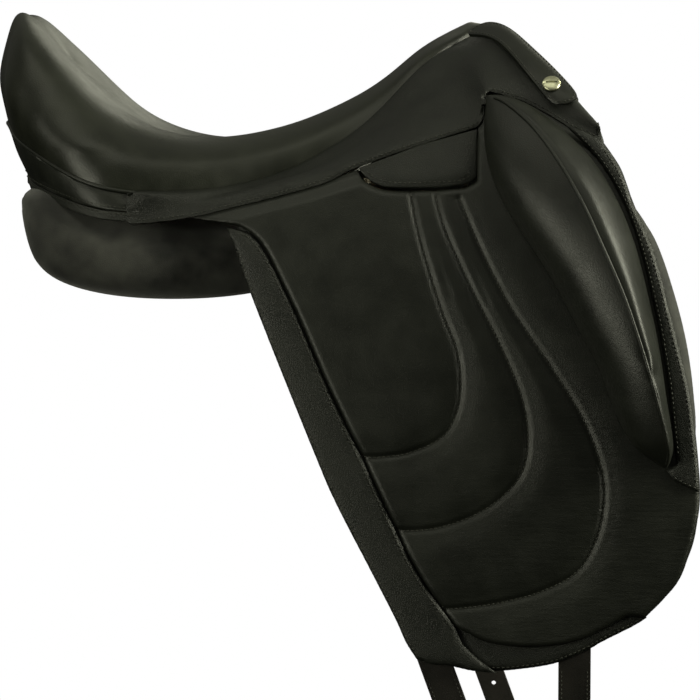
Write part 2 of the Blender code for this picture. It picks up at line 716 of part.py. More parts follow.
def stirrup_bar(side_parent):
    """The plate riveted to the tree, the bar that stands off it, and its safety catch."""
    x, z = BAR_AT
    lean = math.atan2(side(z - 10 * MM) - side(z + 10 * MM), 20 * MM)
    seat = Matrix.Translation((x * LONG, -side(z), z)) @ Matrix.Rotation(-lean, 4, "X")
    empty = bpy.data.objects.new("bar_seat_right", None)
    SADDLE.objects.link(empty)
    empty.parent = side_parent
    empty.matrix_basis = seat

    plate = box((BAR_LENGTH + 6 * MM, BAR_PLATE, 18 * MM), (0, BAR_PLATE / 2, 0))
    bar = add("stirrup_bar_right", plate, "steel", empty)
    out = BAR_SLOT + BAR_THICKNESS
    root = box((12 * MM, out, BAR_HEIGHT), (BAR_LENGTH / 2 - 6 * MM, 0.5 * MM - out / 2, 0))
    rail_middle = -BAR_SLOT - BAR_THICKNESS / 2
    rail = box((BAR_LENGTH, BAR_THICKNESS, BAR_HEIGHT), (0, rail_middle, 0))
    rear = -BAR_LENGTH / 2
    fork = box((30 * MM, CATCH_THICKNESS + 2 * GAP, BAR_HEIGHT * 2), (rear, rail_middle, 0))
    pivot = Vector((rear + 8 * MM, rail_middle, 0))
    bore = rod(PIN_RADIUS + GAP, BAR_THICKNESS * 2, 12)
    bmesh.ops.translate(bore, vec=pivot, verts=bore.verts)
    for name, bm, operation in (
        ("bar_root", root, "UNION"),
        ("bar_rail", rail, "UNION"),
        ("bar_fork", fork, "DIFFERENCE"),
        ("bar_bore", bore, "DIFFERENCE"),
    ):
        tool = cutter(name, bm)
        tool.parent = empty
        boolean(bar, tool, operation)

    for name, at in (("front", 11 * MM * LONG), ("rear", -20 * MM * LONG)):
        hole = rod(RIVET_RADIUS + GAP, BAR_PLATE * 4, 12)
        bmesh.ops.translate(hole, vec=(at, 0, 0), verts=hole.verts)
        tool = cutter("rivet_hole_" + name, hole)
        tool.parent = empty
        boolean(bar, tool, "DIFFERENCE")
        rivet = rod(RIVET_RADIUS, BAR_PLATE + 1 * MM, 12)
        bmesh.ops.translate(rivet, vec=(at, BAR_PLATE / 2 - 0.5 * MM, 0), verts=rivet.verts)
        dome = rod(RIVET_HEAD, 1.6 * MM, 12, narrow=RIVET_HEAD * 0.6)
        bmesh.ops.translate(dome, vec=(at, -0.8 * MM - GAP, 0), verts=dome.verts)
        piece = add("bar_rivet_" + name + "_right", rivet, "steel", empty)
        head = cutter("rivet_head_" + name, dome)
        head.parent = empty
        boolean(piece, head, "UNION")

    pin = rod(PIN_RADIUS, BAR_THICKNESS, 12)
    bmesh.ops.translate(pin, vec=pivot, verts=pin.verts)
    add("catch_pin_right", pin, "steel", empty)

    catch_hinge = bpy.data.objects.new("bar_catch_hinge_right", None)
    SADDLE.objects.link(catch_hinge)
    catch_hinge.parent = empty
    catch_hinge.location = pivot
    tongue = box(
        (CATCH_LENGTH, CATCH_THICKNESS, BAR_HEIGHT - 3 * MM),
        (4 * MM - CATCH_LENGTH / 2, 0, 0),
    )
    catch = add("bar_catch_right", tongue, "steel", catch_hinge)
    thumb = box((4 * MM, CATCH_THICKNESS, 9 * MM), (2 * MM - CATCH_LENGTH, 0, 1.5 * MM))
    pivot_hole = rod(PIN_RADIUS + GAP, BAR_THICKNESS * 2, 12)
    for name, bm, operation in (
        ("catch_thumb", thumb, "UNION"),
        ("catch_hole", pivot_hole, "DIFFERENCE"),
    ):
        tool = cutter(name, bm)
        tool.parent = catch_hinge
        boolean(catch, tool, operation)


def bar_cover(side_parent):
    """The small flap over the stirrup bar, sewn along the skirt's edge."""
    rear = on_side(*COVER_TOP[-1], SKIRT_OUT)
    front = on_side(*COVER_TOP[0], SKIRT_OUT)
    pivot = hinge("bar_cover_hinge_right", rear, front - rear, side_parent)
    flat = outline(COVER_EDGE, [COVER_EDGE[-1], COVER_TOP[0]], COVER_TOP)
    keep_place(draped("bar_cover_right", flat, COVER_IN, SKIRT_OUT, "smooth_leather"), pivot)


def panel(side_parent):
    """The stuffed cushion beside the gullet, and the padded flap in front of it."""
    rows = []
    for x, y, z, half_width, half_height, slope in CUSHION:
        middle = point(x, y, z)
        turn = math.radians(slope)
        ring = []
        for i in range(14):
            angle = 2 * math.pi * i / 14
            c, s = math.cos(angle), math.sin(angle)
            squarer = 0.7
            across = math.copysign(abs(c) ** squarer, c) * half_width * MM * WIDE
            up = math.copysign(abs(s) ** squarer, s) * half_height * MM
            dy = across * math.cos(turn) - up * math.sin(turn)
            dz = across * math.sin(turn) + up * math.cos(turn)
            ring.append(middle + Vector((0, dy, dz)))
        rows.append(ring)
    add("panel_right", loft(rows, ring=True, capped=True), "panel_leather", side_parent)
    inset = 9 * MM
    draped(
        "panel_front_right", outline(PANEL_FRONT_EDGE, PANEL_FRONT_REAR),
        -inset - PANEL_FRONT, -inset, "panel_leather", side_parent,
    )


def girth_web(side_parent):
    """The web that ties the billets to the tree."""
    flat = outline([(66, 2), (112, 17)], [(112, 17), (124, -70)], [(124, -70), (84, -78)], [(84, -78), (66, 2)])
    draped("girth_web_right", flat, -4 * MM, -4 * MM + WEB_THICKNESS, "webbing", side_parent)


def flap_body(flap_hinge):
    """Everything that swings with the flap, from the lining out to the knee block."""
    top = (FLAP_TOP_REAR, NOTCH, NOTCH_FRONT, FLAP_TOP_FRONT)
    pieces = []
    flap = outline(*top, FLAP_FRONT, FLAP_BOTTOM, FLAP_REAR, [FLAP_REAR[-1], FLAP_TOP_REAR[0]])
    pieces.append(draped("flap_right", flap, PAD_IN, PAD_OUT, "smooth_leather"))

    rear_top = [BASE_REAR[-1], *FLAP_TOP_REAR[2:]]
    base_foot = [(347, -305), (330, -298), (290, -306), (250, -308), (215, -301), (171, -328)]
    front_down = FLAP_FRONT[:-2] + [base_foot[0]]
    base = outline(
        rear_top, *top[1:], front_down, base_foot[:-1], [base_foot[-2], BASE_REAR[2]], BASE_REAR[2:]
    )
    pieces.append(draped("flap_base_right", base, BASE_IN, BASE_IN + BASE, "grained_leather"))
    lining_top = [(30, -12), (78, 8), (117, 20), (122, 22)]
    lining_notch = [(122, 22), (127, 15), (139, 9), (157, 7), (204, 9), (219, 15)]
    lining_front = [(310, 48), (325, 24), (335, -1), (351, -38), (367, -98), (379, -147), (385, -203)]
    lining_foot = [(385, -203), (384, -240), (374, -276), (345, -300), (290, -312), (215, -305), (165, -300)]
    lining_rear = [(165, -300), (118, -218), (70, -112), (38, -40), (30, -12)]
    lining = outline(
        lining_top, lining_notch, [(219, 15), (223, 58), (226, 80)],
        [(226, 80), (241, 82), (262, 74), (287, 59), (310, 48)], lining_front, lining_foot, lining_rear,
    )
    pieces.append(draped("flap_lining_right", lining, 0, LINING, "panel_leather"))

    strip = outline(STRIP_INNER, STRIP_OUTER)
    pieces.append(draped("rear_strip_right", strip, PAD_IN, SKIRT_OUT, "grained_leather"))
    guard = outline(
        GUARD_TOP, [GUARD_TOP[-1], GUARD_BOTTOM[0]], GUARD_BOTTOM, [GUARD_BOTTOM[-1], GUARD_TOP[0]]
    )
    pieces.append(draped("billet_guard_right", guard, BASE_IN, BASE_IN + BASE, "grained_leather"))
    trim = outline(
        TRIM_FRONT, TRIM_FOOT, [TRIM_FOOT[-1], (373, -197), TRIM_REAR[0]], TRIM_REAR,
        [TRIM_REAR[-1], (300, 57), TRIM_FRONT[0]],
    )
    pieces.append(draped("front_trim_right", trim, TRIM_IN, TRIM_IN + TRIM, "grained_leather"))
    pieces += knee_block()
    for piece in pieces:
        keep_place(piece, flap_hinge)


def knee_block():
    """The long thigh block, with its piping along the ridge."""
    floor = PAD_OUT + 0.5 * MM
    rear, ridge, front = [[Vector(p) for p in line] for line in (BLOCK_REAR, BLOCK_RIDGE, BLOCK_FRONT)]
    heights = [Vector((h * MM, 0)) for h in BLOCK_HEIGHT]
    rows = []
    crest = []
    for t in steps(0, len(rear) - 1, 22):
        a, r, b = curve_at(rear, t), curve_at(ridge, t), curve_at(front, t)
        h = curve_at(heights, t).x
        rows.append([
            on_side(*a, floor),
            on_side(*a.lerp(r, 0.12), floor + h * 0.36),
            on_side(*a.lerp(r, 0.45), floor + h * 0.78),
            on_side(*r, floor + h),
            on_side(*r.lerp(b, 0.45), floor + h * 0.92),
            on_side(*r.lerp(b, 0.92), floor + h * 0.5),
            on_side(*b, floor),
            on_side(*b.lerp(a, 0.25), floor),
            on_side(*b.lerp(a, 0.5), floor),
            on_side(*b.lerp(a, 0.75), floor),
        ])
        crest.append(on_side(*r, floor + h + WELT_RADIUS + GAP))
    block = add("knee_block_right", loft(rows, ring=True, capped=True), "smooth_leather")
    piping = make_tube("block_piping_right", crest[1:-1], WELT_RADIUS * 0.8, "smooth_leather")
    return [block, piping]


def billet(name, ends, flap_hinge):
    """A girth strap: the part inside the flap, and the tail that swings below it."""
    head, foot = [point(x, 0, z) for x, z in ends]
    along = (foot - head).normalized()
    across = Vector((-along.z, 0, along.x))
    half = BILLET_WIDTH / 2
    end = foot - along * 0.4 * MM
    corners = [head - across * half, head + across * half, end + across * half, end - across * half]
    flat = [(p.x / LONG / MM, p.z / DEEP / MM) for p in corners]
    upper = draped(name + "_right", flat, STRAP_IN, STRAP_IN + STRAP, "strap_leather")
    keep_place(upper, flap_hinge)

    pivot = Vector((foot.x, -side(foot.z) - STRAP_IN - STRAP / 2, foot.z))
    tail_hinge = hinge(name + "_hinge_right", Vector(), across, None)
    keep_place(tail_hinge, flap_hinge)
    tail_hinge.matrix_basis = Matrix.Translation(pivot) @ tail_hinge.matrix_basis
    point_length = 14 * MM
    start = along * 2.2 * MM
    tip = along * TAIL_LENGTH
    shoulder = along * (TAIL_LENGTH - point_length)
    bm = bmesh.new()
    rim = (
        start - across * half, start + across * half, shoulder + across * half,
        tip + across * half * 0.3, tip - across * half * 0.3, shoulder - across * half,
    )
    bm.faces.new([bm.verts.new(p + Vector((0, STRAP / 2, 0))) for p in rim])
    slab = bmesh.ops.extrude_face_region(bm, geom=bm.faces[:])
    raised = [item for item in slab["geom"] if isinstance(item, bmesh.types.BMVert)]
    bmesh.ops.translate(bm, vec=(0, -STRAP, 0), verts=raised)
    bmesh.ops.translate(bm, vec=pivot, verts=bm.verts)
    bmesh.ops.recalc_face_normals(bm, faces=bm.faces)
    tail = add(name + "_tail_right", bm, "strap_leather")
    keep_place(tail, tail_hinge)
    holes = bmesh.new()
    for i in range(HOLES):
        hole = rod(HOLE_RADIUS, STRAP * 3, 8)
        at = pivot + along * (TAIL_LENGTH - 30 * MM - i * HOLE_PITCH)
        bmesh.ops.translate(hole, vec=at, verts=hole.verts)
        mesh = bpy.data.meshes.new("hole")
        hole.to_mesh(mesh)
        hole.free()
        holes.from_mesh(mesh)
        bpy.data.meshes.remove(mesh)
    boolean(tail, cutter(name + "_holes", holes), "DIFFERENCE")


def right_side():
    """Builds the right-hand pieces under an empty, and returns it."""
    parent = bpy.data.objects.new("right_side", None)
    SADDLE.objects.link(parent)
    skirt(parent)
    pommel_tab(parent)
    tab_screw(parent)
    stirrup_bar(parent)
    bar_cover(parent)
    panel(parent)
    girth_web(parent)
    rear = on_side(*HINGE_REAR, SKIRT_OUT)
    front = on_side(*HINGE_FRONT, SKIRT_OUT)
    flap_hinge = hinge("flap_hinge_right", rear, front - rear, parent)
    flap_body(flap_hinge)
    billet("front_billet", FRONT_BILLET, flap_hinge)
    billet("rear_billet", REAR_BILLET, flap_hinge)
    return parent


def left_side(right):
    """A mirrored copy of the right side, piece for piece, under an empty of its own."""
    copies = {}
    cutters = {}

    def copy_under(thing, parent):
        twin = thing.copy()
        if thing.name in CUTTERS.objects:
            CUTTERS.objects.link(twin)
            cutters[thing] = twin
        else:
            SADDLE.objects.link(twin)
            copies[thing] = twin
        twin.name = thing.name.replace("_right", "_left").replace("right_", "left_")
        twin.parent = parent
        twin.matrix_parent_inverse = thing.matrix_parent_inverse
        for child in thing.children:
            copy_under(child, twin)
        return twin

    left = copy_under(right, None)
    left.scale = (1, -1, 1)
    for tool in list(CUTTERS.objects):
        if tool.parent is None:
            cutters[tool] = copy_under(tool, left)
    for twin in copies.values():
        for modifier in twin.modifiers:
            if modifier.type == "BOOLEAN":
                modifier.object = cutters[modifier.object]


clear_scene()
SADDLE = collection("english_saddle")
CUTTERS = collection("cutters")
seat_cover()
seat_foam()
seat_webbing()
tree()
seat_welt()
facings()
pommel_facing()
gullet_lining()
head_plate()
left_side(right_side())
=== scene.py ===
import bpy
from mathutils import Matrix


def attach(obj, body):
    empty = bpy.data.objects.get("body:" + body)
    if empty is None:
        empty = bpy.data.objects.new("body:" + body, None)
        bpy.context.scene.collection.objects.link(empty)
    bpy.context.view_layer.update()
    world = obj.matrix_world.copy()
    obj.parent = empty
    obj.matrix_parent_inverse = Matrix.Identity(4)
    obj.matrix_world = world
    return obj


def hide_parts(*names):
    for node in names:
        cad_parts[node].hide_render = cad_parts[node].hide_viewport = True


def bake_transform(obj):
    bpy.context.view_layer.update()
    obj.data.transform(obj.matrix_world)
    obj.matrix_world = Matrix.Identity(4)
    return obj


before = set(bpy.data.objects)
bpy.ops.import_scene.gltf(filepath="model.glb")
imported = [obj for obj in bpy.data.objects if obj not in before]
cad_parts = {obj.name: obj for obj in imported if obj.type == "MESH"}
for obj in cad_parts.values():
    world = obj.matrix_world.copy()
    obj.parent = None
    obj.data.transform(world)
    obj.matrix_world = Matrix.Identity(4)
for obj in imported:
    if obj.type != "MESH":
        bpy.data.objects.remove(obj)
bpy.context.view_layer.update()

"""A single-flap dressage saddle in black leather, on a pale studio floor.

Lengths are metres, +X towards the pommel, +Y to the rider's left, +Z up. Outlines of
the plates that lie on the saddle's side are taken from the frame's own nodes.
"""

import math

import bmesh
import bpy
from mathutils import Matrix, Vector
from mathutils.bvhtree import BVHTree
from mathutils.kdtree import KDTree

MM = 0.001

# How the side spreads downwards from its top
TOP_HEIGHT, TOP_HALF_WIDTH = 0.165, 0.045
SPREAD, SPREAD_HEIGHT = 0.135, 0.15

# The layers of the side, outwards from the inner face of the flap
LINING_OUT = 6.0 * MM
BASE_IN, BASE_OUT = 10.5 * MM, 13.5 * MM
PAD_IN, PAD_OUT = 13.8 * MM, 19.8 * MM
SKIRT_OUT = 17.3 * MM
TRIM_IN, TRIM_OUT = 20.1 * MM, 23.1 * MM
STRAP_MIDDLE = 8.7 * MM
STRAP = 3.0 * MM
BILLET_WIDTH = 25.0 * MM
TAIL_LENGTH = 220 * MM


# ---------------------------------------------------------------- shader sums


class Value:
    """A shader socket that takes part in sums written as Python expressions."""

    def __init__(self, shader, socket):
        self.shader = shader
        self.socket = socket

    def maths(self, operation, *others):
        return self.shader.node("ShaderNodeMath", {"operation": operation}, *others)

    def __add__(self, other):
        return self.maths("ADD", self, other)

    __radd__ = __add__

    def __sub__(self, other):
        return self.maths("SUBTRACT", self, other)

    def __rsub__(self, other):
        return self.maths("SUBTRACT", other, self)

    def __mul__(self, other):
        return self.maths("MULTIPLY", self, other)

    __rmul__ = __mul__


class Shader:
    """One material, and the nodes in it."""

    def __init__(self, name):
        self.material = bpy.data.materials.new(name)
        self.material.use_nodes = True
        self.nodes = self.material.node_tree.nodes
        self.links = self.material.node_tree.links
        self.surface = self.nodes["Principled BSDF"]

    def node(self, kind, settings, *inputs, output=0, **named):
        """Any node: its settings first, then what its sockets take, in order or by name."""
        made = self.nodes.new(kind)
        for key, setting in settings.items():
            setattr(made, key, setting)
        for key, given in [*enumerate(inputs), *named.items()]:
            socket = made.inputs[key if isinstance(key, int) else key.replace("_", " ")]
            self.fill(socket, given)
        return Value(self, made.outputs[output])

    def fill(self, socket, given):
        if isinstance(given, Value):
            self.links.new(given.socket, socket)
        else:
            socket.default_value = given

    def part(self, value, output):
        """Another output of the node that a value comes from."""
        return Value(self, value.socket.node.outputs[output])

    def ramp(self, source, stops):
        """A colour ramp, as positions with a grey value or a colour each."""
        made = self.nodes.new("ShaderNodeValToRGB")
        elements = made.color_ramp.elements
        while len(elements) < len(stops):
            elements.new(0.5)
        for element, (place, tone) in zip(elements, stops):
            element.position = place
            element.color = tone if isinstance(tone, tuple) else (tone, tone, tone, 1)
        self.links.new(source.socket, made.inputs[0])
        return Value(self, made.outputs[0])

    def finish(self, **sockets):
        for key, given in sockets.items():
            self.fill(self.surface.inputs[key.replace("_", " ")], given)
        return self.material


def object_place(shader, stretch=(1, 1, 1), turn=(0, 0, 0)):
    """Object coordinates, stretched and turned for a pattern."""
    place = shader.node("ShaderNodeTexCoord", {}, output=3)
    return shader.node("ShaderNodeMapping", {}, place, Rotation=turn, Scale=stretch)


def noise(shader, place, scale, detail=3, roughness=0.55):
    return shader.node(
        "ShaderNodeTexNoise", {}, Vector=place, Scale=scale, Detail=detail, Roughness=roughness,
    )


def cells(shader, place, scale, feature="F1"):
    return shader.node("ShaderNodeTexVoronoi", {"feature": feature}, Vector=place, Scale=scale)


def bumped(shader, height, strength, distance):
    return shader.node(
        "ShaderNodeBump", {}, Strength=strength, Distance=distance, Height=height,
    )


def mix_colour(shader, factor, first, second):
    made = shader.nodes.new("ShaderNodeMix")
    made.data_type = "RGBA"
    shader.fill(made.inputs[0], factor)
    shader.fill(made.inputs[6], first)
    shader.fill(made.inputs[7], second)
    return Value(shader, made.outputs[2])


def leather(name, dark, light, rough, grain, depth, pores=0.0, creases=0.0, sheen=0.0, specular=0.35):
    """Black leather: pebble grain of a size per metre, fine pores, soft creases and uneven dye."""
    s = Shader(name)
    place = object_place(s)
    cloudy = noise(s, place, 14, 4, 0.6)
    blotch = noise(s, place, 55, 3, 0.5)
    fine = noise(s, place, 1500, 2, 0.5)
    pebble = cells(s, place, grain, "F1")
    valley = cells(s, place, grain, "DISTANCE_TO_EDGE")
    worn = s.ramp(cloudy * 0.65 + blotch * 0.35, [(0.36, 0.0), (0.66, 1.0)])
    colour = mix_colour(s, worn, (*dark, 1), (*light, 1))
    between = s.ramp(valley, [(0.0, 0.0), (0.28, 1.0)])
    height = (1 - pebble) * 0.55 + between * 0.45 + fine * (0.18 + pores)
    normal = bumped(s, height, 1.0, depth)
    if creases:
        lines = object_place(s, stretch=(26, 26, 150), turn=(0, 0.12, 0))
        ripple = noise(s, lines, 1.6, 4, 0.62)
        parts = s.node("ShaderNodeSeparateXYZ", {}, s.node("ShaderNodeTexCoord", {}, output=3))
        low = s.part(parts, 2)
        forward = s.part(parts, 0)
        where = s.ramp(low * -2.2 + 0.05, [(0.1, 0.1), (0.6, 1.0)])
        where *= s.ramp(forward * 2, [(0.3, 0.25), (0.55, 1.0)])
        normal = s.node(
            "ShaderNodeBump", {}, Strength=1.0, Distance=creases, Height=ripple * where, Normal=normal,
        )
    gloss = (cloudy - 0.5) * 0.22 + (blotch - 0.5) * 0.14 + rough + (0.5 - pebble) * 0.06
    return s.finish(
        Base_Color=colour, Roughness=gloss, Normal=normal, Specular_IOR_Level=specular,
        Sheen_Weight=sheen, Sheen_Roughness=0.5,
    )


def metal(name, colour, rough, brush):
    s = Shader(name)
    place = object_place(s, stretch=(1, 1, 12))
    streaks = noise(s, place, brush, 3, 0.6)
    stain = noise(s, object_place(s), 120, 3, 0.6)
    dull = [c * 0.62 for c in colour]
    tone = mix_colour(s, s.ramp(stain, [(0.4, 0.0), (0.75, 1.0)]), (*colour, 1), (*dull, 1))
    return s.finish(
        Base_Color=tone, Metallic=1.0, Roughness=streaks * 0.2 + rough,
        Normal=bumped(s, streaks, 0.4, 0.0001),
    )


def laminated_wood(name):
    s = Shader(name)
    layers = noise(s, object_place(s, stretch=(8, 8, 160)), 3, 4, 0.6)
    tone = s.ramp(layers, [(0.3, (0.30, 0.18, 0.08, 1)), (0.7, (0.55, 0.38, 0.20, 1))])
    return s.finish(Base_Color=tone, Roughness=0.55, Normal=bumped(s, layers, 0.5, 0.0003))


def woven(name, dark, light):
    s = Shader(name)
    waves = []
    for turn in (0.0, math.pi / 2):
        place = object_place(s, turn=(0, 0, turn))
        waves.append(s.node("ShaderNodeTexWave", {}, Vector=place, Scale=110, Distortion=0.4, output=1))
    cloth = waves[0] * waves[1]
    tone = mix_colour(s, s.ramp(cloth, [(0.05, 0.0), (0.6, 1.0)]), (*dark, 1), (*light, 1))
    return s.finish(Base_Color=tone, Roughness=0.85, Normal=bumped(s, cloth, 0.8, 0.0004))


SMOOTH = leather("smooth_calf", (0.0060, 0.0068, 0.0050), (0.0105, 0.0118, 0.0085), 0.40, 900, 0.00008)
SEAT = leather("seat_calf", (0.0075, 0.0084, 0.0056), (0.0125, 0.0138, 0.0092), 0.36, 800, 0.00007)
PAD = leather(
    "flap_calf", (0.0058, 0.0066, 0.0048), (0.0100, 0.0112, 0.0082), 0.41, 900, 0.0001,
    creases=0.0005,
)
GRAINED = leather(
    "grained_hide", (0.0052, 0.0060, 0.0045), (0.0105, 0.0118, 0.0090), 0.43, 850, 0.0002,
    pores=0.1,
)
PANEL = leather(
    "panel_suede", (0.0030, 0.0034, 0.0028), (0.0430, 0.0435, 0.0385), 0.7, 900, 0.00015,
    pores=0.4, sheen=0.25, specular=0.25,
)
STRAP_HIDE = leather("strap_hide", (0.006, 0.0055, 0.0045), (0.012, 0.010, 0.008), 0.45, 900, 0.00008)
THREAD = leather("waxed_thread", (0.022, 0.023, 0.018), (0.040, 0.041, 0.033), 0.5, 2500, 0.00006)
STEEL = metal("dull_steel", (0.42, 0.42, 0.40), 0.34, 60)
NICKEL = metal("nickel", (0.60, 0.60, 0.42), 0.26, 300)
WOOD = laminated_wood("laminated_birch")
WEB = woven("linen_web", (0.30, 0.26, 0.19), (0.58, 0.53, 0.42))


# ---------------------------------------------------------------- curves and outlines


def clamped(value):
    """A value kept between 0 and 1."""
    return min(max(value, 0), 1)


def half_width(z):
    """The half width of the saddle's side at a height."""
    return TOP_HALF_WIDTH + SPREAD * (1 - math.exp((z - TOP_HEIGHT) / SPREAD_HEIGHT))


def on_side(x, z, out=0.0):
    return Vector((x, -half_width(z) - out, z))


def curve(points, step, closed=False):
    """A smooth line through the points, in even steps."""
    points = [Vector(p) for p in points]
    count = len(points)
    spans = count if closed else count - 1
    dense = []
    for i in range(spans):
        a, b = points[i], points[(i + 1) % count]
        before = points[i - 1] if closed or i else 2 * a - b
        after = points[(i + 2) % count] if closed or i + 2 < count else 2 * b - a
        parts = max(2, int((b - a).length / step * 3))
        for k in range(parts):
            u = k / parts
            dense.append(0.5 * (
                2 * a + (b - before) * u + (2 * before - 5 * a + 4 * b - after) * u * u
                + (3 * a - before - 3 * b + after) * u * u * u
            ))
    dense.append(points[0].copy() if closed else points[-1].copy())
    return even(dense, step)


def run_length(line):
    return sum((b - a).length for a, b in zip(line, line[1:]))


def even(dense, step):
    """The same line with its points at an even distance."""
    length = run_length(dense)
    parts = max(1, round(length / step))
    gap = length / parts
    line = [dense[0].copy()]
    walked, wanted = 0.0, gap
    for a, b in zip(dense, dense[1:]):
        run = (b - a).length
        while run and walked + run >= wanted - 1e-9 and len(line) < parts:
            line.append(a.lerp(b, (wanted - walked) / run))
            wanted += gap
        walked += run
    line.append(dense[-1].copy())
    return line


def copy_of(node):
    bm = bmesh.new()
    bm.from_mesh(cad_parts[node].data)
    bmesh.ops.remove_doubles(bm, verts=bm.verts, dist=0.01 * MM)
    return bm


def boundary(edges):
    """Edges that close a ring, as its vertices in order."""
    links = {}
    for edge in edges:
        for v in edge.verts:
            links.setdefault(v, []).append(edge.other_vert(v))
    first = next(iter(links))
    ring, before = [first], None
    while True:
        onward = [v for v in links[ring[-1]] if v is not before]
        before = ring[-1]
        if onward[0] is first or (len(ring) > 2 and first in onward):
            return ring
        ring.append(onward[0])


def rim_of(node, step=2.5 * MM, corner=26):
    """The outline of a plate on the right side, as seen from the side, with its curves rounded off."""
    bm = copy_of(node)
    outer = {f for f in bm.faces if f.normal.y < -0.2}
    edges = [e for e in bm.edges if sum(f in outer for f in e.link_faces) == 1]
    ring = [Vector((v.co.x, v.co.z)) for v in boundary(edges)]
    bm.free()

    def turn(i, points):
        a, b, c = points[i - 1], points[i], points[(i + 1) % len(points)]
        return math.degrees((b - a).angle(c - b, 0))

    ring = [p for i, p in enumerate(ring) if turn(i, ring) > 0.6]
    corners = [i for i in range(len(ring)) if turn(i, ring) > corner]
    if not corners:
        return curve(ring, step, closed=True)[:-1]
    rim = []
    for i, first in enumerate(corners):
        last = corners[(i + 1) % len(corners)]
        stretch = ring[first:last + 1] if last > first else ring[first:] + ring[:last + 1]
        rim += curve(stretch, step)[:-1]
    return rim


class Nearest:
    """How far a place on the side is from a line."""

    def __init__(self, line, step=1 * MM):
        points = []
        for a, b in zip(line, line[1:]):
            parts = max(1, int((b - a).length / step))
            points += [a.lerp(b, k / parts) for k in range(parts)]
        points.append(line[-1])
        self.tree = KDTree(len(points))
        for i, p in enumerate(points):
            self.tree.insert((p[0], p[1], 0), i)
        self.tree.balance()

    def __call__(self, x, z):
        return self.tree.find((x, z, 0))[2]


def rolled(distance, radius):
    """How far a rounded edge falls, at a distance in from it."""
    if distance >= radius:
        return 0.0
    return radius - math.sqrt(max(radius * radius - (radius - distance) ** 2, 0))


# ---------------------------------------------------------------- pieces


def piece(name, bm, material, body, replaces=()):
    """Puts a finished mesh in the scene: riding on its body and shaded smooth, or with no body and
    flat, for a strap."""
    mesh = bpy.data.meshes.new(name)
    bm.to_mesh(mesh)
    bm.free()
    mesh.materials.append(material)
    thing = bpy.data.objects.new(name, mesh)
    bpy.context.scene.collection.objects.link(thing)
    if body:
        mesh.polygons.foreach_set("use_smooth", [True] * len(mesh.polygons))
        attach(thing, body)
    if replaces:
        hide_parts(*replaces)
    return thing


def applied(thing):
    """Makes a piece's modifiers part of its mesh."""
    bpy.context.view_layer.update()
    depsgraph = bpy.context.evaluated_depsgraph_get()
    mesh = bpy.data.meshes.new_from_object(thing.evaluated_get(depsgraph))
    mesh.name = thing.name
    thing.modifiers.clear()
    old = thing.data
    thing.data = mesh
    bpy.data.meshes.remove(old)
    return thing


def through_modifiers(bm, *modifiers):
    """A mesh passed through modifiers, given as kinds with their settings."""
    mesh = bpy.data.meshes.new("work")
    bm.to_mesh(mesh)
    bm.free()
    thing = bpy.data.objects.new("work", mesh)
    bpy.context.scene.collection.objects.link(thing)
    for kind, settings in modifiers:
        made = thing.modifiers.new(kind, kind)
        for key, setting in settings.items():
            setattr(made, key, setting)
    applied(thing)
    result = bmesh.new()
    result.from_mesh(thing.data)
    mesh = thing.data
    bpy.data.objects.remove(thing)
    bpy.data.meshes.remove(mesh)
    return result


def smoothed(bm, levels):
    return through_modifiers(bm, ("SUBSURF", {"levels": levels, "render_levels": levels}))


def subdivided(bm, levels):
    """A mesh smoothed so that it still passes through its own points."""
    bm.verts.index_update()
    meant = [v.co.copy() if len(v.link_edges) > 2 else None for v in bm.verts]
    for _ in range(3):
        trial = smoothed(bm.copy(), levels)
        trial.verts.ensure_lookup_table()
        for v, wanted in zip(bm.verts, meant):
            if wanted:
                v.co += wanted - trial.verts[v.index].co
        trial.free()
    return smoothed(bm, levels)


SWELL_PRESSURE, SWELL_STIFFNESS, SWELL_FRAMES = 4, 20, 20


def swollen(bm, most, fixed):
    """A stuffed piece blown up a little by pressure: no point moves further than most, and
    where fixed(point) is true none moves at all."""
    mesh = bpy.data.meshes.new("swelling")
    bm.to_mesh(mesh)
    thing = bpy.data.objects.new("swelling", mesh)
    bpy.context.scene.collection.objects.link(thing)
    held = thing.vertex_groups.new(name="held")
    bm.verts.ensure_lookup_table()
    held.add([v.index for v in bm.verts if fixed(v.co)], 1.0, "REPLACE")
    cloth = thing.modifiers.new("cloth", "CLOTH")
    cloth.settings.use_pressure = True
    cloth.settings.uniform_pressure_force = SWELL_PRESSURE
    cloth.settings.effector_weights.gravity = 0
    cloth.settings.vertex_group_mass = held.name
    cloth.settings.tension_stiffness = SWELL_STIFFNESS
    cloth.settings.compression_stiffness = SWELL_STIFFNESS
    scene = bpy.context.scene
    for frame_number in range(1, SWELL_FRAMES + 1):
        scene.frame_set(frame_number)
    depsgraph = bpy.context.evaluated_depsgraph_get()
    result = bpy.data.meshes.new_from_object(thing.evaluated_get(depsgraph))
    for v, moved in zip(bm.verts, result.vertices):
        step = moved.co - v.co
        if step.length > most:
            step *= most / step.length
        v.co += step
    scene.frame_set(1)
    bpy.data.objects.remove(thing)
    bpy.data.meshes.remove(mesh)
    bpy.data.meshes.remove(result)
    return bm


def other_side(thing, body, replaces=()):
    """The same piece for the left side, mirrored."""
    bm = bmesh.new()
    bm.from_mesh(thing.data)
    bmesh.ops.scale(bm, vec=(1, -1, 1), verts=bm.verts)
    bmesh.ops.reverse_faces(bm, faces=bm.faces)
    name = thing.name.replace("_right", "_left")
    return piece(name, bm, thing.data.materials[0], body, replaces)


def pair(name, bm, material, body, nodes=()):
    """A right-hand piece and its mirror image."""
    bodies = [body, body.replace("right", "left")]
    right = piece(name + "_right", bm, material, bodies[0], [n + "_right" for n in nodes])
    left = other_side(right, bodies[1], [n + "_left" for n in nodes])
    return right, left


